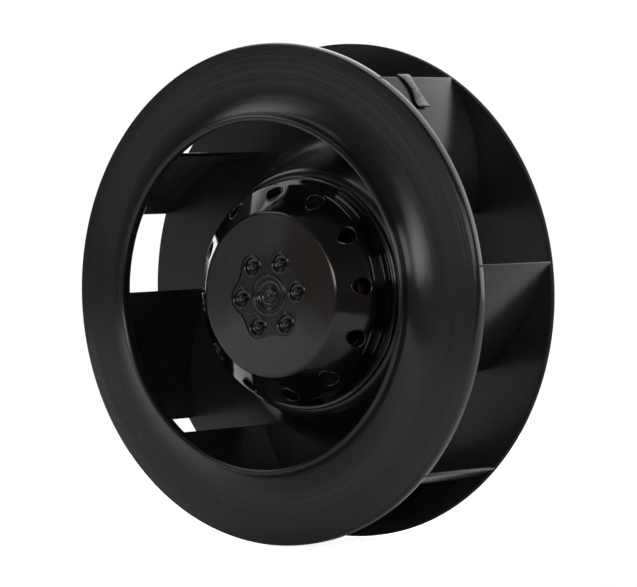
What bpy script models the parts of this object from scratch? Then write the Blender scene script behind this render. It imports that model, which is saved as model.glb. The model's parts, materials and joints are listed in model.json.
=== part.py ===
"""Plug fan: a backward curved centrifugal wheel on an external rotor motor.

The fan axis lies along world Y. The inlet faces -Y, and the motor's mounting face lies in the
plane Y = 0 with the world origin at its centre. Every piece is drawn in the fan's own axes
(local +Z from the mounting face towards the inlet, +Y up, +X to the right as seen from the
inlet) and is carried by an empty that turns those axes into the world's.
"""
import math

import bmesh
import bpy
from mathutils import Matrix, Vector

# Gap between pieces that touch on the real fan
FIT_GAP = 0.0003

# Wheel: overall
WHEEL_RADIUS = 0.125
WHEEL_STANDOFF = 0.0215     # mounting face to the back plate's rear face
OUTLET_WIDTH = 0.060        # between the two discs at the rim

# Wheel: front shroud and its inlet collar
SHROUD_WALL = 0.003
SHROUD_REACH = 0.0358       # rim in to the collar's outer face
COLLAR_HEIGHT = 0.012       # crest above the shroud's front face
COLLAR_FILLET_REACH = 0.015
COLLAR_FILLET_RISE = 0.0095
RIM_ROUND_REACH = 0.005     # the front face rolls back over this much of the radius
RIM_ROUND_DROP = 0.0025
RIM_DEPTH = 0.0063          # front face to the end of the turned back edge
RIM_WALL = 0.003

# Wheel: blades
BLADE_COUNT = 7
BLADE_WALL = 0.002
BLADE_EDGE_WALL = 0.0018    # thickness at both ends
BLADE_TIP_INSET = 0.0005    # tip inside the wheel's rim
BLADE_LEAD_OFFSET = 0.0002  # leading edge outside the collar's radius
BLADE_WRAP = math.radians(32.9)
BLADE_BOW = 0.0066          # rise of the blade's arc over its chord
BLADE_TIP_ANGLE = math.radians(4.8)

# Wheel: back plate and its hub
BACK_WALL = 0.003
HUB_SHELF_WIDTH = 0.0075
HUB_EDGE_ROUND = 0.004
HUB_EDGE_END = 15           # degrees above the wheel's plane where the rounded edge ends
HUB_RAMP_WIDTH = 0.0184     # shelf's edge to the foot of the ramp
HUB_RAMP_LEAN = 0.0035      # how far the ramp leaves the hub's crown before it falls away
HUB_RAMP_SWEEP = 0.0075     # how far from the crown the ramp runs out into the disc
HUB_CROWN_DROP = 0.011
LOCK_RING_WIDTH = 0.0033
LOCK_RING_WALL = 0.001
LOCK_TOOTH_COUNT = 12
LOCK_TOOTH_LENGTH = 0.0012
LOCK_TOOTH_WIDTH = 0.007

# Balance clip on the trailing edge of one blade
CLIP_WALL = 0.0008
CLIP_WIDTH = 0.0134
CLIP_LEG = 0.017
CLIP_DEPTH = 0.024          # shroud's front face to the middle of the clip
CLIP_FLARE = 0.0012

# Motor: mounting flange and bearing tube
FLANGE_WALL = 0.006
FLANGE_LIP_HEIGHT = 0.003
FLANGE_LIP_WALL = 0.003
FLANGE_EDGE = 0.001         # chamfer round the flange
FLANGE_FLOOR = 0.003        # metal left under the blind bearing bore
MOUNT_PITCH_RADIUS = 0.035
MOUNT_HOLE_RADIUS = 0.002
MOUNT_HOLE_DEPTH = 0.007
MOUNT_BOSS_RADIUS = 0.005
MOUNT_MARGIN = 0.006        # fixing boss to the flange's edge
MOUNT_COUNT = 4
TUBE_WALL = 0.002
TUBE_REACH = 0.008          # tube above the laminated stack
TUBE_SHOULDER = 0.0015
RIB_COUNT = 8
RIB_WALL = 0.0025
RIB_HEIGHT = 0.002
LEAD_HOLE_RADIUS = 0.0036
LEAD_PITCH_RADIUS = 0.026
LEAD_SINK_RADIUS = 0.0063
LEAD_SINK_DEPTH = 0.0023
LEAD_BORE_RADIUS = 0.0018
GROMMET_HEAD = 0.0015

# Motor: stator
STACK_LENGTH = 0.028
SLOT_COUNT = 12
SLOT_DEPTH = 0.0167
STATOR_YOKE = 0.007
TOOTH_WIDTH = 0.005
TOOTH_TIP = 0.0025
SLOT_MOUTH = 0.0024
INSULATOR_WALL = 0.001
END_TURN_DEPTH = 0.0084
END_TURN_ROUND = 0.003
WINDING_STANDOFF = 0.008    # flange plate to the rear end turns
SLOT_LINER = 0.0005
SLOT_FILL_INSET = 0.0004    # slot copper inside the end turns' faces
CUTOUT_LENGTH = 0.010
CUTOUT_WIDTH = 0.006
CUTOUT_HEIGHT = 0.0035
CUTOUT_EDGE = 0.0007

# Motor: rotor
AIR_GAP = 0.0005
ROTOR_IRON = 0.0125
ROTOR_OVERLAP = 0.008       # rotor iron past each end of the stack
CAGE_RING_HEIGHT = 0.002
CAGE_RING_INSET = 0.0015
CUP_WALL = 0.002
CUP_FACE_WALL = 0.0025
CUP_AIR = 0.003             # flange lip to the cup's open edge
SHOULDER_STANDOFF = 0.0126  # rotor iron to the foot of the shoulder
SHOULDER_DEPTH = 0.0155     # face to the shoulder's foot, both taken at their sharp corners
SHOULDER_REACH = 0.0142
SHOULDER_ROUND = 0.002
FACE_ROUND = 0.0025
RING_DROP = 0.0121          # foot of the shoulder to the ring's front
RING_REACH = 0.0038
RING_WALL = 0.002
RING_STEP_REACH = 0.0019
RING_STEP_HEIGHT = 0.0022
VENT_COUNT = 12
VENT_WIDTH = 0.0084
VENT_LENGTH = 0.0100        # down the shoulder
VENT_PUNCH = 0.008          # length of the tool that cuts a vent
VENT_DROP = 0.0108          # face to the vents' centres
VENT_FIRST_ANGLE = math.radians(2.6)

# Motor: staked centre of the rotor face
STAKE_COUNT = 6
STAKE_PITCH_RADIUS = 0.0174
STAKE_FIRST_ANGLE = math.radians(3.3)
STAKE_RECESS_RADIUS = 0.0041
STAKE_RECESS_DEPTH = 0.0012
STAKE_PIN_RADIUS = 0.0016
STAKE_PIN_SINK = 0.0004     # pin's end below the panel
STAKE_PUNCH = 0.010         # length of the tools that cut through the face
PANEL_DEPTH = 0.0004
PANEL_MARGIN = 0.0011       # panel edge round each stake recess
PANEL_WAIST = 0.0200        # panel radius between two stakes
CENTRE_RECESS_RADIUS = 0.0075
BOSS_RADIUS = 0.022
BOSS_WALL = 0.004
BOSS_HUB_WALL = 0.0045
BOSS_SEAT_WALL = 0.0018      # boss end that rests on the front inner race

# Shaft and bearings
SHAFT_RADIUS = 0.004
SHAFT_CHAMFER = 0.0005
SHAFT_POINT_RADIUS = 0.001  # centre mark in the shaft's front end
SHAFT_TAIL = 0.0042         # rear bearing to the shaft's rear end
SHAFT_TAIL_AIR = 0.0028     # shaft's rear end to the bore's floor
SHAFT_SINK = 0.0008         # shaft's front end below the rotor face
BEARING_RADIUS = 0.0107
BEARING_WIDTH = 0.007
BEARING_INSET = 0.001       # front bearing below the tube's end
BALL_COUNT = 7
BALL_RADIUS = 0.0019
RACE_CHAMFER = 0.0004
RACE_LAND = 0.0013          # race shoulder past the ball's nearest point
CAGE_WALL = 0.0008
CAGE_HEIGHT = 0.0020
CIRCLIP_WALL = 0.0009
CIRCLIP_WIDTH = 0.0019
CIRCLIP_MOUTH = math.radians(50)
GROOVE_DEPTH = 0.0008
SPRING_WIRE = 0.00035
SPRING_WAVE = 0.00035
SPRING_WAVE_COUNT = 4

# Facets round each kind of turned piece
STEPS_WHEEL = 44
STEPS_CUP = 28
STEPS_MOTOR = 20
STEPS_RACE = 18
STEPS_SMALL = 12
STEPS_HOLE = 10
STEPS_PIN = 8
STEPS_BALL = 8
RINGS_BALL = 5

# Facets along each kind of curve
STEPS_EDGE = 3
STEPS_COLLAR = 4
STEPS_FILLET = 5
STEPS_RAMP = 6
STEPS_TRACK = 3
STEPS_BLADE = 10
STEPS_CLIP_PATH = 40
STEPS_CLIP = 6
STEPS_LOBE = 6
STEPS_WAVE = 6
STEPS_TOOTH = 2
STEPS_BEVEL = 2

# Modelling limits
WELD = 0.00001              # points closer than this are one point
MITRE_LIMIT = 0.5           # keeps an offset path's sharp corners short
SMOOTH_ANGLE = math.radians(35)

# Places along the fan axis, from the mounting face
WHEEL_FRONT = WHEEL_STANDOFF + BACK_WALL + OUTLET_WIDTH + SHROUD_WALL
COLLAR_CREST = WHEEL_FRONT + COLLAR_HEIGHT
BACK_FRONT = WHEEL_STANDOFF + BACK_WALL
END_TURN_REAR = FLANGE_WALL + WINDING_STANDOFF
STACK_REAR = END_TURN_REAR + END_TURN_DEPTH + INSULATOR_WALL + 2 * FIT_GAP
STACK_FRONT = STACK_REAR + STACK_LENGTH
END_TURN_FRONT = STACK_FRONT + INSULATOR_WALL + 2 * FIT_GAP
TUBE_FRONT = STACK_FRONT + TUBE_REACH
REAR_BEARING = FLANGE_FLOOR + SHAFT_TAIL_AIR + SHAFT_TAIL
FRONT_BEARING = TUBE_FRONT - BEARING_INSET - BEARING_WIDTH
SPRING_ROOM = 2 * (SPRING_WIRE + SPRING_WAVE + FIT_GAP)
REAR_SEAT_END = REAR_BEARING + BEARING_WIDTH + SPRING_ROOM
ROTOR_IRON_REAR = STACK_REAR - ROTOR_OVERLAP
ROTOR_IRON_FRONT = STACK_FRONT + ROTOR_OVERLAP
SHOULDER_FOOT = ROTOR_IRON_FRONT + CAGE_RING_HEIGHT + SHOULDER_STANDOFF
CUP_FACE = SHOULDER_FOOT + SHOULDER_DEPTH
CUP_REAR = FLANGE_WALL + FLANGE_LIP_HEIGHT + CUP_AIR
CUP_INSIDE = CUP_FACE - CUP_FACE_WALL
RING_FRONT = SHOULDER_FOOT - RING_DROP
HUB_SHELF = RING_FRONT - RING_WALL - FIT_GAP

# Radii that follow from the pieces they fit
COLLAR_RADIUS = WHEEL_RADIUS - SHROUD_REACH
FLANGE_RADIUS = MOUNT_PITCH_RADIUS + MOUNT_BOSS_RADIUS + MOUNT_MARGIN
TUBE_BORE = BEARING_RADIUS + FIT_GAP
TUBE_RADIUS = TUBE_BORE + TUBE_WALL
STACK_BORE = TUBE_RADIUS + FIT_GAP
SLOT_FLOOR = STACK_BORE + STATOR_YOKE
SLOT_ROOF = SLOT_FLOOR + SLOT_DEPTH
STATOR_RADIUS = SLOT_ROOF + TOOTH_TIP
ROTOR_BORE = STATOR_RADIUS + AIR_GAP
ROTOR_IRON_RADIUS = ROTOR_BORE + ROTOR_IRON
CUP_BORE = ROTOR_IRON_RADIUS + FIT_GAP
CUP_RADIUS = CUP_BORE + CUP_WALL
FACE_RADIUS = CUP_RADIUS - SHOULDER_REACH
RING_RADIUS = CUP_RADIUS + RING_REACH
HUB_BORE = CUP_RADIUS + FIT_GAP
HUB_SHELF_RADIUS = HUB_BORE + HUB_SHELF_WIDTH
HUB_FOOT_RADIUS = HUB_SHELF_RADIUS + HUB_RAMP_WIDTH
SHAFT_FIT = SHAFT_RADIUS + FIT_GAP
BALL_PITCH = (SHAFT_FIT + BEARING_RADIUS) / 2
BLADE_LEAD_RADIUS = COLLAR_RADIUS + BLADE_LEAD_OFFSET


def clear_scene():
    """Remove every object that the scene starts with."""
    for obj in list(bpy.data.objects):
        bpy.data.objects.remove(obj, do_unlink=True)


def new_collection(name):
    """Make a collection and link it to the scene."""
    collection = bpy.data.collections.new(name)
    bpy.context.scene.collection.children.link(collection)
    return collection


def new_material(name, colour, roughness, metallic):
    """A plain Principled BSDF material."""
    material = bpy.data.materials.new(name)
    material.use_nodes = True
    shader = material.node_tree.nodes["Principled BSDF"]
    shader.inputs["Base Color"].default_value = (*colour, 1.0)
    shader.inputs["Roughness"].default_value = roughness
    shader.inputs["Metallic"].default_value = metallic
    return material


def arc(centre_r, centre_z, radius_r, radius_z, start, end, steps):
    """Points of an elliptic arc in the (r, z) half plane, angles in degrees from +r to +z."""
    points = []
    for step in range(steps + 1):
        angle = math.radians(start + (end - start) * step / steps)
        points.append((centre_r + radius_r * math.cos(angle), centre_z + radius_z * math.sin(angle)))
    return points


def bezier(start, start_handle, end_handle, end, steps):
    """Points of a cubic curve between two ends."""
    points = []
    for step in range(steps + 1):
        t = step / steps
        weights = ((1 - t) ** 3, 3 * t * (1 - t) ** 2, 3 * t * t * (1 - t), t ** 3)
        corners = (start, start_handle, end_handle, end)
        points.append(tuple(sum(w * corner[axis] for w, corner in zip(weights, corners))
                            for axis in (0, 1)))
    return points


def rounded(points, radii, steps):
    """Open path through the points, with an arc at each corner that has a radius."""
    path = []
    for index, (point, radius) in enumerate(zip(points, radii)):
        if not radius:
            path.append(point)
            continue
        here = Vector(point)
        back = (Vector(points[index - 1]) - here).normalized()
        ahead = (Vector(points[index + 1]) - here).normalized()
        half = back.angle(ahead) / 2
        centre = here + (back + ahead).normalized() * radius / math.sin(half)
        start = here + back * radius / math.tan(half) - centre
        end = here + ahead * radius / math.tan(half) - centre
        for step in range(steps + 1):
            path.append(tuple(centre + start.lerp(end, step / steps).normalized() * radius))
    return path


def offset_path(points, distances):
    """Shift an open path to its right by the distance given for each point."""
    shifted = []
    for index, (point, distance) in enumerate(zip(points, distances)):
        before = Vector(points[max(index - 1, 0)])
        after = Vector(points[min(index + 1, len(points) - 1)])
        here = Vector(point)
        into = (here - before).normalized() if index else (after - here).normalized()
        out = (after - here).normalized() if index < len(points) - 1 else into
        along = (into + out).normalized()
        right = Vector((along.y, -along.x))
        mitre = max(right.dot(Vector((into.y, -into.x))), MITRE_LIMIT)
        shifted.append(tuple(here + right * distance / mitre))
    return shifted


def bowed(start, end, bow, steps):
    """Points of an arc from start to end that rises by bow to the left of its chord."""
    start, end = Vector(start), Vector(end)
    chord = end - start
    length = chord.length
    radius = length * length / (8 * bow) + bow / 2
    left = Vector((-chord.y, chord.x)).normalized()
    centre = (start + end) / 2 - left * (radius - bow)
    half = math.asin(length / (2 * radius))
    points = []
    for step in range(steps + 1):
        turn = half - 2 * half * step / steps
        arm = left * math.cos(turn) - chord.normalized() * math.sin(turn)
        points.append(tuple(centre + arm * radius))
    return points


def polar(radius, angle):
    """A point in the plane of the wheel."""
    return (radius * math.cos(angle), radius * math.sin(angle))


def signed_area(points):
    """Area of a closed outline, negative when it runs clockwise."""
    pairs = zip(points, points[1:] + points[:1])
    return sum(a[0] * b[1] - b[0] * a[1] for a, b in pairs) / 2


def add_object(name, mesh, material=None, parent=None, hidden=False):
    """Link a mesh as a part under its empty, or as a hidden cutter."""
    obj = bpy.data.objects.new(name, mesh)
    (CUTTERS if hidden else PARTS).objects.link(obj)
    obj.parent = parent or FAN_AXES
    if hidden:
        obj.hide_render = True
        obj.display_type = "WIRE"
    if material:
        obj.data.materials.append(material)
    return obj


def turned(name, section, steps, material=None, parent=None, hidden=False):
    """Turn an (r, z) section about the fan axis; a section that ends on the axis stays open."""
    on_axis = section[0][0] == 0 and section[-1][0] == 0
    if signed_area(section) > 0:
        section = section[::-1]
    count = len(section)
    edges = [(index, index + 1) for index in range(count - 1)]
    if not on_axis:
        edges.append((count - 1, 0))
    mesh = bpy.data.meshes.new(name)
    mesh.from_pydata([(r, 0, z) for r, z in section], edges, [])
    obj = add_object(name, mesh, material, parent, hidden)
    screw = obj.modifiers.new("Turn", "SCREW")
    screw.axis = "Z"
    screw.steps = steps
    screw.render_steps = steps
    screw.use_merge_vertices = True
    screw.merge_threshold = WELD
    return obj


def extruded(name, outlines, bottom, top, material=None, parent=None, hidden=False):
    """Extrude flat outlines along the fan axis; inner outlines become holes."""
    curve = bpy.data.curves.new(name, "CURVE")
    curve.dimensions = "2D"
    curve.fill_mode = "BOTH"
    curve.extrude = (top - bottom) / 2
    for outline in outlines:
        spline = curve.splines.new("POLY")
        spline.points.add(len(outline) - 1)
        for point, (x, y) in zip(spline.points, outline):
            point.co = (x, y, 0, 1)
        spline.use_cyclic_u = True
    return curve_to_mesh(name, curve, (bottom + top) / 2, material, parent, hidden)


def curve_to_mesh(name, curve, height, material=None, parent=None, hidden=False):
    """Turn a curve into a welded mesh object that stands at a height on the fan axis."""
    source = bpy.data.objects.new(name, curve)
    CUTTERS.objects.link(source)
    bpy.context.view_layer.update()
    mesh = bpy.data.meshes.new_from_object(source.evaluated_get(bpy.context.evaluated_depsgraph_get()))
    bpy.data.objects.remove(source, do_unlink=True)
    bpy.data.curves.remove(curve)
    shape = bmesh.new()
    shape.from_mesh(mesh)
    bmesh.ops.remove_doubles(shape, verts=shape.verts, dist=WELD)
    bmesh.ops.recalc_face_normals(shape, faces=shape.faces)
    bmesh.ops.translate(shape, verts=shape.verts, vec=(0, 0, height))
    shape.to_mesh(mesh)
    shape.free()
    mesh.name = name
    return add_object(name, mesh, material, parent, hidden)


def cylinders(name, places, radius, length, segments, hidden=True):
    """Cylinders centred on the given matrices, as one object."""
    shape = bmesh.new()
    for place in places:
        bmesh.ops.create_cone(shape, cap_ends=True, segments=segments, radius1=radius, radius2=radius,
                              depth=length, matrix=place)
    mesh = bpy.data.meshes.new(name)
    shape.to_mesh(mesh)
    shape.free()
    return add_object(name, mesh, hidden=hidden)


def ring_of_places(count, radius, height, first_angle=0.0, tilt=0.0):
    """Matrices round the fan axis, each tilted outwards from it."""
    places = []
    for index in range(count):
        turn = Matrix.Rotation(first_angle + math.tau * index / count, 4, "Z")
        lean = Matrix.Rotation(tilt, 4, "Y")
        places.append(turn @ Matrix.Translation((radius, 0, height)) @ lean)
    return places


def combine(target, tool, operation="DIFFERENCE"):
    """Add a Boolean with another object."""
    modifier = target.modifiers.new(tool.name, "BOOLEAN")
    modifier.operation = operation
    modifier.object = tool
    return target


def settle(obj):
    """Apply an object's modifiers and shade its round faces smooth."""
    bpy.context.view_layer.update()
    mesh = bpy.data.meshes.new_from_object(obj.evaluated_get(bpy.context.evaluated_depsgraph_get()))
    mesh.name = obj.name
    obj.modifiers.clear()
    obj.data = mesh
    mesh.shade_smooth()
    mesh.set_sharp_from_angle(angle=SMOOTH_ANGLE)


def shroud_underside(gap):
    """The shroud's inner surface from the collar out to the rim, moved inwards by a gap."""
    wall = SHROUD_WALL + gap
    bend_z = WHEEL_FRONT + COLLAR_FILLET_RISE
    path = arc(COLLAR_RADIUS + COLLAR_FILLET_REACH, bend_z, COLLAR_FILLET_REACH + wall,
               COLLAR_FILLET_RISE + wall, 180, 270, STEPS_COLLAR)
    lip_radius = WHEEL_RADIUS - RIM_WALL - gap
    path += [(lip_radius - RIM_ROUND_DROP / 2, WHEEL_FRONT - wall),
             (lip_radius, WHEEL_FRONT - wall - RIM_ROUND_DROP / 2),
             (lip_radius, WHEEL_FRONT - RIM_DEPTH - gap)]
    return path


def make_front_shroud(material):
    """Ring with a raised inlet collar and an outer edge turned back towards the blades."""
    crest_round = SHROUD_WALL / 2
    section = arc(COLLAR_RADIUS - crest_round, COLLAR_CREST - crest_round,
                  crest_round, crest_round, 180, 0, STEPS_EDGE)
    section += arc(COLLAR_RADIUS + COLLAR_FILLET_REACH, WHEEL_FRONT + COLLAR_FILLET_RISE,
                   COLLAR_FILLET_REACH, COLLAR_FILLET_RISE, 180, 270, STEPS_FILLET)
    section += arc(WHEEL_RADIUS - RIM_ROUND_REACH, WHEEL_FRONT - RIM_ROUND_DROP,
                   RIM_ROUND_REACH, RIM_ROUND_DROP, 90, 0, STEPS_EDGE)
    section.append((WHEEL_RADIUS, WHEEL_FRONT - RIM_DEPTH))
    section += shroud_underside(0)[::-1]
    return turned("front_shroud", section, STEPS_WHEEL, material, ROTOR)


def hub_front(gap):
    """The back plate's front surface from the hub's crown out to the rim, moved forwards by a gap."""
    path = arc(HUB_SHELF_RADIUS - HUB_EDGE_ROUND, HUB_SHELF - HUB_EDGE_ROUND,
               HUB_EDGE_ROUND, HUB_EDGE_ROUND, 90, HUB_EDGE_END, STEPS_EDGE)
    crown = path[-1]
    path += bezier(crown, (crown[0] + HUB_RAMP_LEAN, crown[1] - HUB_CROWN_DROP),
                   (crown[0] + HUB_RAMP_SWEEP, BACK_FRONT), (HUB_FOOT_RADIUS, BACK_FRONT),
                   STEPS_RAMP)[1:]
    path.append((WHEEL_RADIUS, BACK_FRONT))
    return offset_path(path, [-gap] * len(path))


def make_blade_passage():
    """The space between shroud and back plate that a blade may fill, with its fit gaps."""
    outside = WHEEL_RADIUS + RIM_WALL
    bottom = hub_front(FIT_GAP)
    top = shroud_underside(FIT_GAP)
    section = bottom + [(outside, bottom[-1][1]), (outside, top[-1][1])] + top[::-1]
    return turned("blade_passage", section, STEPS_WHEEL, hidden=True)


def blade_centreline(steps):
    """The blade's arc from its tip at the rim in to its leading edge."""
    tip = polar(WHEEL_RADIUS - BLADE_TIP_INSET, BLADE_TIP_ANGLE)
    lead = polar(BLADE_LEAD_RADIUS, BLADE_TIP_ANGLE - BLADE_WRAP)
    return bowed(tip, lead, BLADE_BOW, steps)


def make_blades(material, passage):
    """Seven blades, each an arc of even thickness that thins at both ends."""
    path = blade_centreline(STEPS_BLADE)
    halves = [BLADE_WALL / 2] * len(path)
    halves[0] = BLADE_EDGE_WALL / 2
    halves[-1] = BLADE_EDGE_WALL / 2
    outline = offset_path(path, halves) + offset_path(path, [-half for half in halves])[::-1]
    blades = []
    for index in range(BLADE_COUNT):
        blade = extruded(f"blade_{index + 1}", [outline], WHEEL_STANDOFF, COLLAR_CREST, material, ROTOR)
        blade.data.transform(Matrix.Rotation(math.tau * index / BLADE_COUNT, 4, "Z"))
        blades.append(combine(blade, passage, "INTERSECT"))
    return blades


def make_back_plate(material):
    """Flat disc that climbs to a hub shelf round the rotor."""
    front = [(HUB_BORE, HUB_SHELF)] + hub_front(0)
    rear = offset_path(front, [BACK_WALL] * len(front))
    return turned("back_plate", front + rear[::-1], STEPS_WHEEL, material, ROTOR)


def make_lock_ring(material):
    """Push-on ring that holds the wheel's hub shelf against the rotor's ring."""
    top = HUB_SHELF - BACK_WALL - FIT_GAP
    outer = HUB_BORE + LOCK_RING_WIDTH
    root = HUB_BORE + LOCK_TOOTH_LENGTH
    half = LOCK_TOOTH_WIDTH / 2 / HUB_BORE
    inner = []
    for index in range(LOCK_TOOTH_COUNT):
        middle = math.tau * index / LOCK_TOOTH_COUNT
        inner += [polar(root, middle - half), polar(HUB_BORE, middle - half),
                  polar(HUB_BORE, middle), polar(HUB_BORE, middle + half), polar(root, middle + half)]
    rim = [polar(outer, math.tau * step / STEPS_CUP) for step in range(STEPS_CUP)]
    return extruded("hub_lock_ring", [rim, inner], top - LOCK_RING_WALL, top, material, ROTOR)


def make_balance_clip(material):
    """Sheet clip folded over the trailing edge of the second blade, along its curve."""
    path = blade_centreline(STEPS_CLIP_PATH)
    pitch = (Vector(path[0]) - Vector(path[1])).length
    legs = [path[round(CLIP_LEG / pitch * index / STEPS_CLIP)] for index in range(STEPS_CLIP + 1)]
    inner = BLADE_WALL / 2 + FIT_GAP
    tip = Vector(legs[0]) + (Vector(legs[0]) - Vector(legs[1])).normalized() * FIT_GAP
    legs[0] = tuple(tip)
    fold = tuple(tip + (Vector(legs[0]) - Vector(legs[1])).normalized() * CLIP_WALL)
    flare = [inner] * STEPS_CLIP + [inner + CLIP_FLARE]
    outer_legs = [fold] + legs[1:]
    outer_flare = [value + CLIP_WALL for value in flare]
    outline = offset_path(legs, flare)[::-1] + offset_path(legs, [-value for value in flare])
    outline += offset_path(outer_legs, [-value for value in outer_flare])[::-1]
    outline += offset_path(outer_legs, outer_flare)
    middle = WHEEL_FRONT - CLIP_DEPTH
    clip = extruded("balance_clip", [outline], middle - CLIP_WIDTH / 2, middle + CLIP_WIDTH / 2,
                    material, ROTOR)
    clip.data.transform(Matrix.Rotation(math.tau / BLADE_COUNT, 4, "Z"))
    return clip


def cup_corners():
    """Sharp corners of the rotor shell: its face, its conical shoulder and its wall."""
    return [(0, CUP_FACE), (FACE_RADIUS, CUP_FACE), (CUP_RADIUS, SHOULDER_FOOT), (CUP_RADIUS, CUP_REAR)]


def cup_outside():
    """The rotor shell's outer surface, from the axis over the shoulder to its open edge."""
    path = rounded(cup_corners(), [0, FACE_ROUND, SHOULDER_ROUND, 0], STEPS_EDGE)
    step_radius = CUP_RADIUS + RING_STEP_REACH
    path[-1:] = [(CUP_RADIUS, RING_FRONT + RING_STEP_HEIGHT + RING_STEP_REACH / 2),
                 (step_radius - RING_STEP_REACH / 2, RING_FRONT + RING_STEP_HEIGHT),
                 (step_radius, RING_FRONT + RING_STEP_HEIGHT),
                 (step_radius, RING_FRONT),
                 (RING_RADIUS, RING_FRONT),
                 (RING_RADIUS, RING_FRONT - RING_WALL),
                 (CUP_RADIUS, RING_FRONT - RING_WALL),
                 (CUP_RADIUS, CUP_REAR)]
    return path


def cup_inside():
    """The rotor shell's inner surface, from its open edge up to the axis."""
    corners = offset_path(cup_corners(), [CUP_WALL] * len(cup_corners()))
    (face_radius, face_height), (wall_radius, wall_height) = corners[1:3]
    share = (face_height - CUP_INSIDE) / (face_height - wall_height)
    edge = face_radius + (wall_radius - face_radius) * share
    return [(CUP_BORE, CUP_REAR), (CUP_BORE, wall_height), (edge, CUP_INSIDE), (0, CUP_INSIDE)]


def lobed_panel(name, bottom, top):
    """Cutter for the shallow panel that runs round the six stakes."""
    lobe = STAKE_PITCH_RADIUS + STAKE_RECESS_RADIUS + PANEL_MARGIN
    mean = (lobe + PANEL_WAIST) / 2
    swing = (lobe - PANEL_WAIST) / 2
    steps = STEPS_LOBE * STAKE_COUNT
    outline = []
    for step in range(steps):
        angle = math.tau * step / steps
        radius = mean + swing * math.cos(STAKE_COUNT * (angle - STAKE_FIRST_ANGLE))
        outline.append(polar(radius, angle))
    return extruded(name, [outline], bottom, top, hidden=True)


def make_rotor_cup(material):
    """Drawn shell with twelve vents, a ring for the wheel and the staked centre."""
    cup = turned("rotor_cup", cup_outside() + cup_inside(), STEPS_CUP, material, ROTOR)
    vent_radius = FACE_RADIUS + SHOULDER_REACH * VENT_DROP / SHOULDER_DEPTH
    lean = math.atan2(SHOULDER_DEPTH, SHOULDER_REACH)
    oval = Matrix.Diagonal((VENT_LENGTH / VENT_WIDTH, 1, 1, 1))
    vents = [place @ oval for place in
             ring_of_places(VENT_COUNT, vent_radius, CUP_FACE - VENT_DROP, VENT_FIRST_ANGLE, lean)]
    combine(cup, cylinders("vent_holes", vents, VENT_WIDTH / 2, VENT_PUNCH, STEPS_HOLE))
    above = CUP_FACE + CUP_WALL
    panel_floor = CUP_FACE - PANEL_DEPTH
    combine(cup, lobed_panel("face_panel", panel_floor, above))
    recess_floor = panel_floor - STAKE_RECESS_DEPTH
    stakes = ring_of_places(STAKE_COUNT, STAKE_PITCH_RADIUS, (recess_floor + above) / 2, STAKE_FIRST_ANGLE)
    combine(cup, cylinders("stake_recesses", stakes, STAKE_RECESS_RADIUS, above - recess_floor, STEPS_HOLE))
    centre = [Matrix.Translation((0, 0, (recess_floor + above) / 2))]
    combine(cup, cylinders("centre_recess", centre, CENTRE_RECESS_RADIUS, above - recess_floor,
                           STEPS_SMALL))
    holes = ring_of_places(STAKE_COUNT, STAKE_PITCH_RADIUS, CUP_INSIDE, STAKE_FIRST_ANGLE)
    combine(cup, cylinders("stake_holes", holes, STAKE_PIN_RADIUS + FIT_GAP, STAKE_PUNCH, STEPS_PIN))
    bore = [Matrix.Translation((0, 0, CUP_INSIDE))]
    combine(cup, cylinders("shaft_bore", bore, SHAFT_FIT, STAKE_PUNCH, STEPS_SMALL))
    return cup


def make_rotor_core(material):
    """Laminated ring with its cast end rings."""
    inner = ROTOR_BORE + CAGE_RING_INSET
    outer = ROTOR_IRON_RADIUS - CAGE_RING_INSET
    front = ROTOR_IRON_FRONT + CAGE_RING_HEIGHT
    rear = ROTOR_IRON_REAR - CAGE_RING_HEIGHT
    section = [(inner, front), (outer, front), (outer, ROTOR_IRON_FRONT),
               (ROTOR_IRON_RADIUS, ROTOR_IRON_FRONT), (ROTOR_IRON_RADIUS, ROTOR_IRON_REAR),
               (outer, ROTOR_IRON_REAR), (outer, rear), (inner, rear), (inner, ROTOR_IRON_REAR),
               (ROTOR_BORE, ROTOR_IRON_REAR), (ROTOR_BORE, ROTOR_IRON_FRONT), (inner, ROTOR_IRON_FRONT)]
    return turned("rotor_core", section, STEPS_CUP, material, ROTOR)


def make_rotor_boss(material):
    """Cast boss between shell and shaft, with the six pins staked in the face."""
    top = CUP_INSIDE - FIT_GAP
    rear = FRONT_BEARING + BEARING_WIDTH + FIT_GAP
    hub = SHAFT_FIT + BOSS_HUB_WALL
    foot = SHAFT_FIT + BOSS_SEAT_WALL
    section = [(SHAFT_FIT, top), (BOSS_RADIUS, top), (BOSS_RADIUS, top - BOSS_WALL)]
    section += arc(hub + BOSS_WALL, top - 2 * BOSS_WALL, BOSS_WALL, BOSS_WALL, 90, 180, STEPS_EDGE)
    section += [(hub, rear + BOSS_WALL), (foot, rear), (SHAFT_FIT, rear)]
    boss = turned("rotor_boss", section, STEPS_MOTOR, material, ROTOR)
    pin_top = CUP_FACE - PANEL_DEPTH - STAKE_PIN_SINK
    pin_rear = top - BOSS_WALL / 2
    places = ring_of_places(STAKE_COUNT, STAKE_PITCH_RADIUS, (pin_top + pin_rear) / 2, STAKE_FIRST_ANGLE)
    pins = cylinders("stake_pins", places, STAKE_PIN_RADIUS, pin_top - pin_rear, STEPS_PIN)
    return combine(boss, pins, "UNION")


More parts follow.
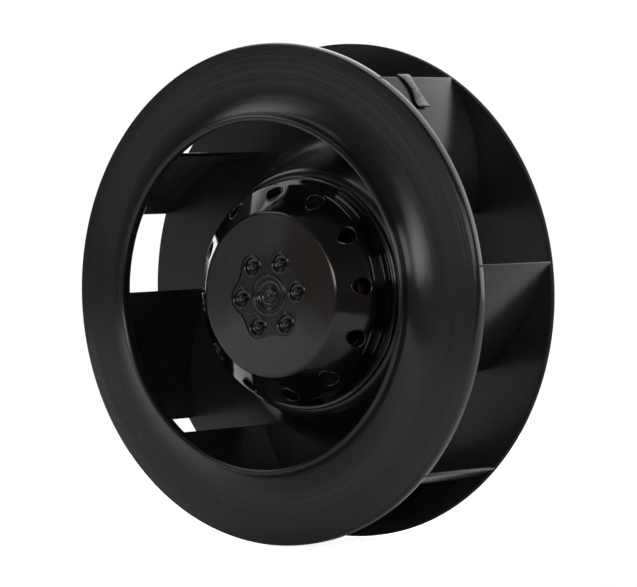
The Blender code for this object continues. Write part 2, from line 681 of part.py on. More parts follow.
def make_shaft(material):
    """Ground shaft with a circlip groove behind the rear bearing."""
    top = CUP_FACE - SHAFT_SINK
    rear = REAR_BEARING - SHAFT_TAIL
    groove_front = REAR_BEARING - FIT_GAP
    groove_rear = groove_front - CIRCLIP_WALL - 2 * FIT_GAP
    groove = SHAFT_RADIUS - GROOVE_DEPTH
    section = [(0, top - SHAFT_CHAMFER), (SHAFT_POINT_RADIUS, top), (SHAFT_RADIUS - SHAFT_CHAMFER, top),
               (SHAFT_RADIUS, top - SHAFT_CHAMFER), (SHAFT_RADIUS, groove_front), (groove, groove_front),
               (groove, groove_rear), (SHAFT_RADIUS, groove_rear), (SHAFT_RADIUS, rear + SHAFT_CHAMFER),
               (SHAFT_RADIUS - SHAFT_CHAMFER, rear), (0, rear)]
    return turned("shaft", section, STEPS_SMALL, material, ROTOR)


def make_circlip(material):
    """Open retaining ring in the shaft's groove."""
    inner = SHAFT_RADIUS - GROOVE_DEPTH + FIT_GAP
    outer = inner + CIRCLIP_WIDTH
    steps = STEPS_HOLE
    start = -math.pi / 2 + CIRCLIP_MOUTH / 2
    sweep = math.tau - CIRCLIP_MOUTH
    angles = [start + sweep * step / steps for step in range(steps + 1)]
    outline = [polar(outer, angle) for angle in angles] + [polar(inner, angle) for angle in angles[::-1]]
    top = REAR_BEARING - 2 * FIT_GAP
    return extruded("shaft_circlip", [outline], top - CIRCLIP_WALL, top, material, ROTOR)


def race_section(bottom, seat, land, side):
    """A race's section: seat against its housing and a groove whose facets clear the ball."""
    top = bottom + BEARING_WIDTH
    middle = bottom + BEARING_WIDTH / 2
    rise = abs(land - BALL_PITCH)
    groove = BALL_RADIUS + FIT_GAP
    groove /= math.cos(math.acos(rise / groove) / STEPS_TRACK)
    reach = math.degrees(math.acos(rise / groove))
    facing = 0 if side > 0 else 180
    track = arc(BALL_PITCH, middle, groove, groove, facing + side * reach, facing - side * reach,
                STEPS_TRACK)
    shy = seat - side * RACE_CHAMFER
    corners = [(land, bottom), (shy, bottom), (seat, bottom + RACE_CHAMFER),
               (seat, top - RACE_CHAMFER), (shy, top), (land, top)]
    return corners + track


def make_bearing(place, bottom, steel, cage_frame):
    """Outer race in the tube, inner race on the shaft, and the balls in their cage."""
    outer_land = BALL_PITCH + BALL_RADIUS + FIT_GAP - RACE_LAND
    inner_land = BALL_PITCH - BALL_RADIUS - FIT_GAP + RACE_LAND
    turned(f"bearing_{place}_outer", race_section(bottom, BEARING_RADIUS, outer_land, 1),
           STEPS_RACE, steel, STATOR)
    turned(f"bearing_{place}_inner", race_section(bottom, SHAFT_FIT, inner_land, -1),
           STEPS_RACE, steel, ROTOR)
    middle = bottom + BEARING_WIDTH / 2
    ring = [(BALL_PITCH - CAGE_WALL / 2, middle - CAGE_HEIGHT / 2),
            (BALL_PITCH + CAGE_WALL / 2, middle - CAGE_HEIGHT / 2),
            (BALL_PITCH + CAGE_WALL / 2, middle + CAGE_HEIGHT / 2),
            (BALL_PITCH - CAGE_WALL / 2, middle + CAGE_HEIGHT / 2)]
    cage = turned(f"bearing_{place}_balls", ring, STEPS_RACE, steel, cage_frame)
    shape = bmesh.new()
    for matrix in ring_of_places(BALL_COUNT, BALL_PITCH, middle):
        bmesh.ops.create_uvsphere(shape, u_segments=STEPS_BALL, v_segments=RINGS_BALL,
                                  radius=BALL_RADIUS, matrix=matrix)
    mesh = bpy.data.meshes.new(f"{place}_balls")
    shape.to_mesh(mesh)
    shape.free()
    return combine(cage, add_object(f"{place}_balls", mesh, hidden=True), "UNION")


def make_preload_spring(material):
    """Wave spring between the rear outer race and the tube's shoulder."""
    curve = bpy.data.curves.new("preload_spring", "CURVE")
    curve.dimensions = "3D"
    curve.bevel_depth = SPRING_WIRE
    curve.bevel_resolution = 1
    spline = curve.splines.new("POLY")
    steps = STEPS_WAVE * SPRING_WAVE_COUNT
    spline.points.add(steps - 1)
    radius = BEARING_RADIUS - SPRING_WIRE - FIT_GAP
    for step, point in enumerate(spline.points):
        angle = math.tau * step / steps
        point.co = (*polar(radius, angle), SPRING_WAVE * math.cos(SPRING_WAVE_COUNT * angle), 1)
    spline.use_cyclic_u = True
    return curve_to_mesh("preload_spring", curve, REAR_SEAT_END - SPRING_ROOM / 2, material, STATOR)


def slotted_outline(radius, tooth, mouth):
    """Outline of a stack or end cap whose slots open outwards."""
    pitch = math.tau / SLOT_COUNT
    outline = []
    for index in range(SLOT_COUNT):
        middle = index * pitch
        mouth_turn = math.asin(mouth / 2 / radius)
        for step in range(STEPS_TOOTH + 1):
            turn = -pitch + mouth_turn + (pitch - 2 * mouth_turn) * step / STEPS_TOOTH
            outline.append(polar(radius, middle + turn))
        roof = min(SLOT_ROOF, radius - TOOTH_TIP / 2)
        roof_turn = pitch / 2 - math.asin(tooth / 2 / roof)
        floor_turn = pitch / 2 - math.asin(tooth / 2 / SLOT_FLOOR)
        outline.append(polar(roof, middle - roof_turn))
        outline.append(polar(SLOT_FLOOR, middle - floor_turn))
        outline.append(polar(SLOT_FLOOR, middle + floor_turn))
        outline.append(polar(roof, middle + roof_turn))
    return outline


def circle(radius, steps):
    """Outline of a round hole or disc."""
    return [polar(radius, math.tau * step / steps) for step in range(steps)]


def make_stator(iron, plastic, copper, dark):
    """Laminated stack, its end caps, the windings and their thermal cutout."""
    bore = circle(STACK_BORE, STEPS_MOTOR)
    extruded("stator_core", [slotted_outline(STATOR_RADIUS, TOOTH_WIDTH, SLOT_MOUTH), bore],
             STACK_REAR, STACK_FRONT, iron, STATOR)
    cap_outline = slotted_outline(SLOT_ROOF + TOOTH_TIP / 2, TOOTH_WIDTH, SLOT_MOUTH)
    extruded("insulator_front", [cap_outline, bore], STACK_FRONT + FIT_GAP,
             STACK_FRONT + FIT_GAP + INSULATOR_WALL, plastic, STATOR)
    extruded("insulator_rear", [cap_outline, bore], STACK_REAR - FIT_GAP - INSULATOR_WALL,
             STACK_REAR - FIT_GAP, plastic, STATOR)
    inner = SLOT_FLOOR + SLOT_LINER
    outer = SLOT_ROOF - SLOT_LINER
    winding = turned("stator_winding", end_turn_section(inner, outer, END_TURN_FRONT, 1),
                     STEPS_MOTOR, copper, STATOR)
    rear = turned("rear_end_turns", end_turn_section(inner, outer, END_TURN_REAR + END_TURN_DEPTH, -1),
                  STEPS_MOTOR, hidden=True)
    combine(winding, make_slot_fill(inner, outer), "UNION")
    combine(winding, rear, "UNION")
    make_thermal_cutout(dark, (inner + outer) / 2)


def end_turn_section(inner, outer, root, side):
    """Section of one ring of end turns, rounded away from the stack."""
    far = root + side * END_TURN_DEPTH
    bend = far - side * END_TURN_ROUND
    section = [(inner, root)]
    section += arc(inner + END_TURN_ROUND, bend, END_TURN_ROUND, END_TURN_ROUND,
                   180, 180 - side * 90, STEPS_BEVEL)
    section += arc(outer - END_TURN_ROUND, bend, END_TURN_ROUND, END_TURN_ROUND,
                   side * 90, 0, STEPS_BEVEL)
    section.append((outer, root))
    return section


def make_slot_fill(inner, outer):
    """Copper in the slots, one bar for each, joining both rings of end turns."""
    pitch = math.tau / SLOT_COUNT
    bottom = END_TURN_REAR + END_TURN_DEPTH / 2
    top = END_TURN_FRONT + END_TURN_DEPTH / 2
    bars = []
    for index in range(SLOT_COUNT):
        outline = []
        for radius, side in ((inner + SLOT_FILL_INSET, -1), (outer - SLOT_FILL_INSET, -1),
                             (outer - SLOT_FILL_INSET, 1), (inner + SLOT_FILL_INSET, 1)):
            turn = pitch / 2 - math.asin((TOOTH_WIDTH / 2 + SLOT_LINER) / radius)
            outline.append(polar(radius, index * pitch + side * turn))
        bars.append(outline)
    return extruded("slot_fill", bars, bottom, top, hidden=True)


def make_thermal_cutout(material, radius):
    """Small sealed switch that rests on the rear end turns."""
    bpy.ops.mesh.primitive_cube_add(size=1)
    cutout = bpy.context.object
    cutout.name = "thermal_cutout"
    cutout.data.name = "thermal_cutout"
    height = END_TURN_REAR - FIT_GAP - CUTOUT_HEIGHT / 2
    cutout.data.transform(Matrix.Diagonal((CUTOUT_LENGTH, CUTOUT_WIDTH, CUTOUT_HEIGHT, 1)))
    cutout.data.transform(Matrix.Translation((0, radius, height)))
    for collection in list(cutout.users_collection):
        collection.objects.unlink(cutout)
    PARTS.objects.link(cutout)
    cutout.parent = STATOR
    cutout.data.materials.append(material)
    bevel = cutout.modifiers.new("Edges", "BEVEL")
    bevel.width = CUTOUT_EDGE
    bevel.segments = STEPS_BEVEL
    return cutout


def make_motor_flange(material):
    """Cast mounting flange with its bearing tube, ribs, fixing bosses and lead hole."""
    lip_top = FLANGE_WALL + FLANGE_LIP_HEIGHT
    lip_inner = FLANGE_RADIUS - FLANGE_LIP_WALL
    web_bore = TUBE_BORE - TUBE_SHOULDER
    section = [(0, FLANGE_FLOOR), (TUBE_BORE, FLANGE_FLOOR), (TUBE_BORE, REAR_SEAT_END),
               (web_bore, REAR_SEAT_END), (web_bore, FRONT_BEARING - FIT_GAP),
               (TUBE_BORE, FRONT_BEARING - FIT_GAP), (TUBE_BORE, TUBE_FRONT),
               (TUBE_RADIUS, TUBE_FRONT), (TUBE_RADIUS, STACK_REAR - INSULATOR_WALL - 2 * FIT_GAP),
               (TUBE_RADIUS + TUBE_WALL, STACK_REAR - INSULATOR_WALL - 2 * FIT_GAP),
               (TUBE_RADIUS + TUBE_WALL, FLANGE_WALL), (lip_inner, FLANGE_WALL), (lip_inner, lip_top),
               (FLANGE_RADIUS - FLANGE_EDGE, lip_top), (FLANGE_RADIUS, lip_top - FLANGE_EDGE),
               (FLANGE_RADIUS, FLANGE_EDGE), (FLANGE_RADIUS - FLANGE_EDGE, 0), (0, 0)]
    flange = turned("motor_flange", section, STEPS_MOTOR, material, STATOR)
    boss_top = MOUNT_HOLE_DEPTH + MOUNT_HOLE_RADIUS
    quarter = math.pi / MOUNT_COUNT
    bosses = ring_of_places(MOUNT_COUNT, MOUNT_PITCH_RADIUS, (FLANGE_WALL / 2 + boss_top) / 2, quarter)
    combine(flange, cylinders("mount_bosses", bosses, MOUNT_BOSS_RADIUS, boss_top - FLANGE_WALL / 2,
                              STEPS_SMALL), "UNION")
    combine(flange, make_ribs(lip_inner), "UNION")
    holes = ring_of_places(MOUNT_COUNT, MOUNT_PITCH_RADIUS, 0, quarter)
    combine(flange, cylinders("mount_holes", holes, MOUNT_HOLE_RADIUS, 2 * MOUNT_HOLE_DEPTH, STEPS_HOLE))
    lead = [Matrix.Translation((0, -LEAD_PITCH_RADIUS, 0))]
    combine(flange, cylinders("lead_hole", lead, LEAD_HOLE_RADIUS, 2 * lip_top, STEPS_SMALL))
    combine(flange, cylinders("lead_sink", lead, LEAD_SINK_RADIUS, 2 * LEAD_SINK_DEPTH, STEPS_SMALL))
    return flange


def make_ribs(lip_inner):
    """Radial ribs from the bearing tube out to the flange's lip."""
    shape = bmesh.new()
    start = TUBE_RADIUS + TUBE_WALL / 2
    end = lip_inner + FLANGE_LIP_WALL / 2
    bottom = FLANGE_WALL / 2
    top = FLANGE_WALL + RIB_HEIGHT
    size = Matrix.Diagonal((end - start, RIB_WALL, top - bottom, 1))
    centre = Matrix.Translation(((start + end) / 2, 0, (bottom + top) / 2))
    for index in range(RIB_COUNT):
        turn = Matrix.Rotation(math.tau * (index + 0.5) / RIB_COUNT, 4, "Z")
        bmesh.ops.create_cube(shape, size=1, matrix=turn @ centre @ size)
    mesh = bpy.data.meshes.new("flange_ribs")
    shape.to_mesh(mesh)
    shape.free()
    return add_object("flange_ribs", mesh, hidden=True)


def make_lead_grommet(material):
    """Rubber grommet snapped into the flange's lead hole."""
    neck = LEAD_HOLE_RADIUS - FIT_GAP
    rear_top = LEAD_SINK_DEPTH - FIT_GAP
    front = FLANGE_WALL + FIT_GAP
    head = GROMMET_HEAD
    section = [(LEAD_BORE_RADIUS, FIT_GAP), (LEAD_SINK_RADIUS - 2 * FIT_GAP, FIT_GAP),
               (LEAD_SINK_RADIUS - 2 * FIT_GAP, rear_top), (neck, rear_top), (neck, front),
               (LEAD_HOLE_RADIUS + head, front), (LEAD_HOLE_RADIUS + head, front + head / 2),
               (LEAD_HOLE_RADIUS, front + head), (LEAD_BORE_RADIUS, front + head)]
    grommet = turned("lead_grommet", section, STEPS_SMALL, material, STATOR)
    settle(grommet)
    grommet.data.transform(Matrix.Translation((0, -LEAD_PITCH_RADIUS, 0)))
    return grommet


def make_frame(name, parent):
    """An empty on the fan axis that carries one moving or fixed group."""
    empty = bpy.data.objects.new(name, None)
    PARTS.objects.link(empty)
    empty.empty_display_size = WHEEL_RADIUS / 4
    empty.parent = parent
    return empty


clear_scene()
PARTS = new_collection("plug_fan")
CUTTERS = new_collection("cutters")
FAN_AXES = make_frame("fan_axes", None)
FAN_AXES.rotation_euler = (math.radians(90), 0, 0)
STATOR = make_frame("stator_group", FAN_AXES)
ROTOR = make_frame("rotor_group", FAN_AXES)
FRONT_CAGE = make_frame("front_ball_group", FAN_AXES)
REAR_CAGE = make_frame("rear_ball_group", FAN_AXES)


def main():
    """Build every piece, then apply its modifiers and drop the cutters."""
    wheel_plastic = new_material("wheel_plastic", (0.020, 0.020, 0.021), 0.5, 0.0)
    rotor_paint = new_material("rotor_paint", (0.010, 0.010, 0.012), 0.2, 0.0)
    cast_aluminium = new_material("cast_aluminium", (0.42, 0.43, 0.45), 0.5, 1.0)
    bright_steel = new_material("bright_steel", (0.55, 0.56, 0.58), 0.25, 1.0)
    spring_steel = new_material("spring_steel", (0.20, 0.21, 0.23), 0.35, 1.0)
    laminations = new_material("laminations", (0.23, 0.24, 0.26), 0.45, 1.0)
    end_cap_plastic = new_material("end_cap_plastic", (0.72, 0.69, 0.60), 0.5, 0.0)
    enamelled_copper = new_material("enamelled_copper", (0.36, 0.12, 0.05), 0.35, 1.0)
    black_rubber = new_material("black_rubber", (0.018, 0.018, 0.018), 0.8, 0.0)

    make_front_shroud(wheel_plastic)
    make_blades(wheel_plastic, make_blade_passage())
    make_back_plate(wheel_plastic)
    make_lock_ring(spring_steel)
    make_balance_clip(spring_steel)
    make_rotor_cup(rotor_paint)
    make_rotor_core(laminations)
    make_rotor_boss(cast_aluminium)
    make_shaft(bright_steel)
    make_circlip(spring_steel)
    make_bearing("front", FRONT_BEARING, bright_steel, FRONT_CAGE)
    make_bearing("rear", REAR_BEARING, bright_steel, REAR_CAGE)
    make_preload_spring(spring_steel)
    make_stator(laminations, end_cap_plastic, enamelled_copper, black_rubber)
    make_motor_flange(cast_aluminium)
    make_lead_grommet(black_rubber)

    for obj in list(PARTS.objects):
        if obj.type == "MESH":
            settle(obj)
    for cutter in list(CUTTERS.objects):
        bpy.data.objects.remove(cutter, do_unlink=True)
    bpy.data.collections.remove(CUTTERS)


main()
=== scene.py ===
"""Plug fan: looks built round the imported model.

Every piece is drawn in the fan's own axes, with +Z running from the motor's mounting face to
the inlet, and is then turned into the frame, where the inlet faces -Y. Lengths are in metres.
"""
import json
import math

import bmesh
import bpy
from bpy.props import (FloatProperty, FloatVectorProperty, IntProperty, PointerProperty,
                       StringProperty)
from mathutils import Matrix, Vector


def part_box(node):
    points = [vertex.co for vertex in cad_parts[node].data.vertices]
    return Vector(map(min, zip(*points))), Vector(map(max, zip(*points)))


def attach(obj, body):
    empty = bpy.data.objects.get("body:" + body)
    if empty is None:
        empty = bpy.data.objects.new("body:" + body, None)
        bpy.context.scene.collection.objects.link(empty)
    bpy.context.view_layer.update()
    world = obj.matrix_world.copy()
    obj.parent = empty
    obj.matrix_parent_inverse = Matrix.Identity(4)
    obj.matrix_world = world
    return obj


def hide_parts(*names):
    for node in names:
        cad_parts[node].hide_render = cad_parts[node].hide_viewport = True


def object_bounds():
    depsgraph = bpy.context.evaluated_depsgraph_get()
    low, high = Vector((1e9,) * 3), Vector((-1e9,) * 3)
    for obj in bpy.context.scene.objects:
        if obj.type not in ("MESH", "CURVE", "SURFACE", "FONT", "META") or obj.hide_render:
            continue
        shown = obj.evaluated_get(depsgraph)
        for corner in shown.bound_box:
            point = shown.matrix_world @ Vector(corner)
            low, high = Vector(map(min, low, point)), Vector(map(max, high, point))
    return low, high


bl_info = {
    "name": "Plug Fan Dressing",
    "version": (1, 0, 0),
    "blender": (4, 5, 0),
    "location": "3D View > Sidebar > Plug Fan",
    "description": "Builds the wheel, motor and finishes of a plug fan round its packed model",
    "category": "Object",
}

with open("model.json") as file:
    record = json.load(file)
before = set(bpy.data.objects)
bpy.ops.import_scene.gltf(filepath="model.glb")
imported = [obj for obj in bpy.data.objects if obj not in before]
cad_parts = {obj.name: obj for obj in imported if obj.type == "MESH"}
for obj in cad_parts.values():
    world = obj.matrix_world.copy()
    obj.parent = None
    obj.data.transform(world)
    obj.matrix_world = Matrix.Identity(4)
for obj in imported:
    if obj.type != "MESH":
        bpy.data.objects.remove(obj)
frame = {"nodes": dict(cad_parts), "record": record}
CAD_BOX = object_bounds()
FAN_TO_WORLD = Matrix(((1, 0, 0, 0), (0, 0, -1, 0), (0, 1, 0, 0), (0, 0, 0, 1)))
SMOOTH_ANGLE = math.radians(32)
SHADE_GUARD = 0.0008      # from the end of a long flat run to its extra point
MERGE_GAP = 0.000002      # points closer than this are one
PANEL_DEPTH = 0.00065     # rotor face to the lobed panel round the shaft
RECESS_DEPTH = 0.0018     # rotor face to the floor of a stake's recess


def reach(node):
    """A CAD node's radius about the fan axis."""
    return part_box(node)[1].x


def front(node):
    """A CAD node's front end, measured along the fan axis from the mounting face."""
    return -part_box(node)[0].y


def rear(node):
    """A CAD node's rear end, measured along the fan axis from the mounting face."""
    return -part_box(node)[1].y


# Outlines


def arc(centre_r, centre_z, radius_r, radius_z, start, end, steps):
    """Points of an elliptic arc in the (r, z) half plane, angles in degrees from +r to +z."""
    turns = [math.radians(start + (end - start) * step / steps) for step in range(steps + 1)]
    return [(centre_r + radius_r * math.cos(turn), centre_z + radius_z * math.sin(turn))
            for turn in turns]


def bezier(start, start_handle, end_handle, end, steps):
    """Points of a cubic curve between two ends."""
    points = []
    for step in range(steps + 1):
        t = step / steps
        weights = ((1 - t) ** 3, 3 * t * (1 - t) ** 2, 3 * t * t * (1 - t), t ** 3)
        corners = (start, start_handle, end_handle, end)
        points.append(tuple(sum(w * corner[axis] for w, corner in zip(weights, corners))
                            for axis in (0, 1)))
    return points


def rounded(points, radii, steps):
    """Open path through the points, with an arc at each corner that has a radius."""
    path = []
    for index, (point, radius) in enumerate(zip(points, radii)):
        if not radius:
            path.append(point)
            continue
        here = Vector(point)
        back = (Vector(points[index - 1]) - here).normalized()
        ahead = (Vector(points[index + 1]) - here).normalized()
        half = back.angle(ahead) / 2
        centre = here + (back + ahead).normalized() * radius / math.sin(half)
        start = here + back * radius / math.tan(half) - centre
        end = here + ahead * radius / math.tan(half) - centre
        for step in range(steps + 1):
            path.append(tuple(centre + start.lerp(end, step / steps).normalized() * radius))
    return path


def normals(points):
    """The left-hand unit normal at each point of an open path."""
    found = []
    for index in range(len(points)):
        before = Vector(points[max(index - 1, 0)])
        after = Vector(points[min(index + 1, len(points) - 1)])
        along = (after - before).normalized()
        found.append(Vector((-along.y, along.x)))
    return found


def bowed(start, end, bow, steps):
    """Points of an arc from start to end that rises by bow to the left of its chord."""
    start, end = Vector(start), Vector(end)
    chord = end - start
    radius = chord.length_squared / (8 * bow) + bow / 2
    left = Vector((-chord.y, chord.x)).normalized()
    centre = (start + end) / 2 - left * (radius - bow)
    half = math.asin(chord.length / (2 * radius))
    ahead = chord.normalized()
    points = []
    for step in range(steps + 1):
        turn = half - 2 * half * step / steps
        points.append(centre + radius * (left * math.cos(turn) - ahead * math.sin(turn)))
    return points


def polar(radius, angle):
    """A point in the plane of the wheel."""
    return Vector((radius * math.cos(angle), radius * math.sin(angle)))


def height_at(path, radius):
    """Height of an (r, z) path at a radius, held level past its ends."""
    ordered = sorted(path)
    if radius <= ordered[0][0]:
        return ordered[0][1]
    for (r_in, z_in), (r_out, z_out) in zip(ordered, ordered[1:]):
        if r_in <= radius <= r_out and r_out > r_in:
            return z_in + (z_out - z_in) * (radius - r_in) / (r_out - r_in)
    return ordered[-1][1]


# Meshes


def new_object(name, mesh):
    """Link a mesh to the scene as an object at the origin."""
    obj = bpy.data.objects.new(name, mesh)
    bpy.context.scene.collection.objects.link(obj)
    return obj


def mesh_of(name, shape):
    """Close a bmesh's doubles, point its faces outwards and hand it over as a mesh."""
    bmesh.ops.remove_doubles(shape, verts=shape.verts, dist=MERGE_GAP)
    bmesh.ops.recalc_face_normals(shape, faces=shape.faces)
    mesh = bpy.data.meshes.new(name)
    shape.to_mesh(mesh)
    shape.free()
    return mesh


def guarded(section, closed):
    """Add a point near both ends of each long run, so that smooth shading leaves it flat."""
    path = []
    for index, point in enumerate(section):
        path.append(point)
        here, after = Vector(point), Vector(section[(index + 1) % len(section)])
        run = after - here
        if run.length > 5 * SHADE_GUARD and (closed or index + 1 < len(section)):
            guard = run.normalized() * SHADE_GUARD
            path += [tuple(here + guard), tuple(after - guard)]
    return path


def turned(name, section, steps, edge=0.0):
    """Turn a closed (r, z) section about the fan axis and round its sharp edges."""
    closed = section[0][0] > 0 or section[-1][0] > 0
    section = guarded(section, closed)
    count = len(section)
    edges = [(index, (index + 1) % count) for index in range(count if closed else count - 1)]
    mesh = bpy.data.meshes.new(name)
    mesh.from_pydata([(r, 0, z) for r, z in section], edges, [])
    obj = new_object(name, mesh)
    screw = obj.modifiers.new("Turn", "SCREW")
    screw.steps = screw.render_steps = steps
    screw.use_merge_vertices = True
    screw.merge_threshold = 0.000005
    settle(obj)
    if edge:
        soften(obj, edge)
    return obj


def soften(obj, width, segments=2):
    """Round every edge sharper than the smoothing angle."""
    bevel = obj.modifiers.new("Edges", "BEVEL")
    bevel.limit_method = "ANGLE"
    bevel.angle_limit = SMOOTH_ANGLE
    bevel.width = width
    bevel.segments = segments
    settle(obj)


def settle(obj):
    """Apply an object's modifiers and point its faces outwards."""
    bpy.context.view_layer.update()
    graph = bpy.context.evaluated_depsgraph_get()
    applied = bpy.data.meshes.new_from_object(obj.evaluated_get(graph))
    obj.modifiers.clear()
    shape = bmesh.new()
    shape.from_mesh(applied)
    obj.data = mesh_of(obj.name, shape)
    bpy.data.meshes.remove(applied)


def cut(obj, tool, operation="DIFFERENCE"):
    """Combine an object with a tool, which is then removed."""
    boolean = obj.modifiers.new("Cut", "BOOLEAN")
    boolean.operation = operation
    boolean.object = tool
    settle(obj)
    bpy.data.objects.remove(tool)


def prism(name, outline, low, high):
    """Straight-sided solid between two heights on a closed outline."""
    shape = bmesh.new()
    rings = [[shape.verts.new((p[0], p[1], z)) for p in outline] for z in (low, high)]
    for index in range(len(outline)):
        after = (index + 1) % len(outline)
        shape.faces.new((rings[0][index], rings[0][after], rings[1][after], rings[1][index]))
    shape.faces.new(rings[0][::-1])
    shape.faces.new(rings[1])
    return new_object(name, mesh_of(name, shape))


def circle(radius, steps, centre=(0, 0)):
    """Closed round outline."""
    return [polar(radius, math.tau * step / steps) + Vector(centre) for step in range(steps)]


def dress(obj, material, body, *nodes):
    """Give a piece its place in the frame, its finish, its body and the nodes it stands for."""
    obj.data.transform(FAN_TO_WORLD)
    obj.data.shade_smooth()
    obj.data.set_sharp_from_angle(angle=SMOOTH_ANGLE)
    if not any(obj.data.materials):
        obj.data.materials.clear()
        obj.data.materials.append(finishes[material])
    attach(obj, body)
    if nodes:
        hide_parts(*nodes)


# Nodes


def add(tree, kind, settings=None, inputs=None):
    """Add a node with its settings; an input is given a value or the socket that feeds it."""
    node = tree.nodes.new(kind)
    for key, value in (settings or {}).items():
        setattr(node, key, value)
    for key, value in (inputs or {}).items():
        if isinstance(value, bpy.types.NodeSocket):
            tree.links.new(value, node.inputs[key])
        else:
            node.inputs[key].default_value = value
    return node


def ring_tree():
    """Geometry nodes that copy a piece round the fan axis."""
    tree = bpy.data.node_groups.new("Copies round the axis", "GeometryNodeTree")
    for label, kind in (("Geometry", "Geometry"), ("Count", "Int"), ("First Angle", "Float"),
                        ("Material", "Material")):
        tree.interface.new_socket(label, in_out="INPUT", socket_type="NodeSocket" + kind)
    tree.interface.new_socket("Geometry", in_out="OUTPUT", socket_type="NodeSocketGeometry")
    given = add(tree, "NodeGroupInput")
    points = add(tree, "GeometryNodePoints", None, {"Count": given.outputs["Count"]})
    index = add(tree, "GeometryNodeInputIndex")
    step = add(tree, "ShaderNodeMath", {"operation": "DIVIDE"},
               {0: math.tau, 1: given.outputs["Count"]})
    turn = add(tree, "ShaderNodeMath", {"operation": "MULTIPLY_ADD"},
               {0: index.outputs[0], 1: step.outputs[0], 2: given.outputs["First Angle"]})
    rotation = add(tree, "ShaderNodeCombineXYZ", None, {"Z": turn.outputs[0]})
    copies = add(tree, "GeometryNodeInstanceOnPoints", None,
                 {"Points": points.outputs[0], "Instance": given.outputs["Geometry"],
                  "Rotation": rotation.outputs[0]})
    real = add(tree, "GeometryNodeRealizeInstances", None, {0: copies.outputs[0]})
    painted = add(tree, "GeometryNodeSetMaterial", None,
                  {"Geometry": real.outputs[0], "Material": given.outputs["Material"]})
    add(tree, "NodeGroupOutput", None, {"Geometry": painted.outputs[0]})
    return tree


def ring_of(obj, count, first_angle, material):
    """Copy an object's mesh round the fan axis with the node tree, and apply it."""
    tree = bpy.data.node_groups.get("Copies round the axis") or ring_tree()
    nodes = obj.modifiers.new("Ring", "NODES")
    nodes.node_group = tree
    values = {"Count": count, "First Angle": first_angle, "Material": finishes[material]}
    for item in tree.interface.items_tree:
        if item.in_out == "INPUT" and item.name in values:
            nodes[item.identifier] = values[item.name]
    settle(obj)
    return obj


# Finishes

finishes = {}


def linear(hex_colour):
    """A linear colour from an sRGB hex value."""
    parts = [int(hex_colour[place:place + 2], 16) / 255 for place in (1, 3, 5)]
    return (*(p / 12.92 if p <= 0.04045 else ((p + 0.055) / 1.055) ** 2.4 for p in parts), 1)


def new_finish(name, colour, roughness, metallic=0.0, ior=1.5):
    """A material with its shader's constants set, and a socket for object coordinates."""
    material = bpy.data.materials.new(name)
    material.use_nodes = True
    tree = material.node_tree
    shader = tree.nodes["Principled BSDF"]
    shader.inputs["Base Color"].default_value = linear(colour)
    shader.inputs["Roughness"].default_value = roughness
    shader.inputs["Metallic"].default_value = metallic
    if not metallic:
        shader.inputs["IOR"].default_value = ior
    place = add(tree, "ShaderNodeTexCoord").outputs["Object"]
    finishes[name] = material
    return tree, shader, place


def grain(tree, place, size, detail=4.0):
    """Noise whose lumps are a given size in metres."""
    return add(tree, "ShaderNodeTexNoise", None,
               {"Vector": place, "Scale": 1 / size, "Detail": detail}).outputs[0]


def spread(tree, value, low, high, from_low=0.3, from_high=0.7):
    """Map a value to a range; the range that it comes from is a noise's, unless it is given."""
    return add(tree, "ShaderNodeMapRange", None,
               {"Value": value, "From Min": from_low, "From Max": from_high,
                "To Min": low, "To Max": high}).outputs[0]


def mixed(tree, share, first, second):
    """Mix two colours, each a value or the socket that gives it."""
    return add(tree, "ShaderNodeMix", {"data_type": "RGBA"},
               {"Factor": share, "A": first, "B": second}).outputs["Result"]


def bands(tree, place, pitch, distortion):
    """Stripes across the fan axis, a pitch apart; the texture draws 20 / tau of them per unit."""
    return add(tree, "ShaderNodeTexWave", {"bands_direction": "Y"},
               {"Vector": place, "Scale": math.tau / (20 * pitch), "Distortion": distortion,
                "Detail": 1.0}).outputs["Fac"]


def radius_of(tree, place):
    """Distance from the fan axis."""
    flat = add(tree, "ShaderNodeVectorMath", {"operation": "MULTIPLY"}, {0: place, 1: (1, 0, 1)})
    return add(tree, "ShaderNodeVectorMath", {"operation": "LENGTH"},
               {0: flat.outputs[0]}).outputs[1]


def tool_rings(tree, place, pitch):
    """Random rings round the fan axis, a pitch apart, as a turning tool leaves them."""
    along = add(tree, "ShaderNodeMath", {"operation": "DIVIDE"},
                {0: radius_of(tree, place), 1: pitch})
    return add(tree, "ShaderNodeTexNoise", {"noise_dimensions": "1D"},
               {"W": along.outputs[0], "Scale": 1.0, "Detail": 3.0}).outputs[0]


def bumped(tree, shader, heights):
    """Chain bumps, each a height socket with its strength and its depth in metres."""
    normal = None
    for height, strength, depth in heights:
        inputs = {"Height": height, "Strength": strength, "Distance": depth}
        if normal:
            inputs["Normal"] = normal
        normal = add(tree, "ShaderNodeBump", None, inputs).outputs[0]
    tree.links.new(normal, shader.inputs["Normal"])


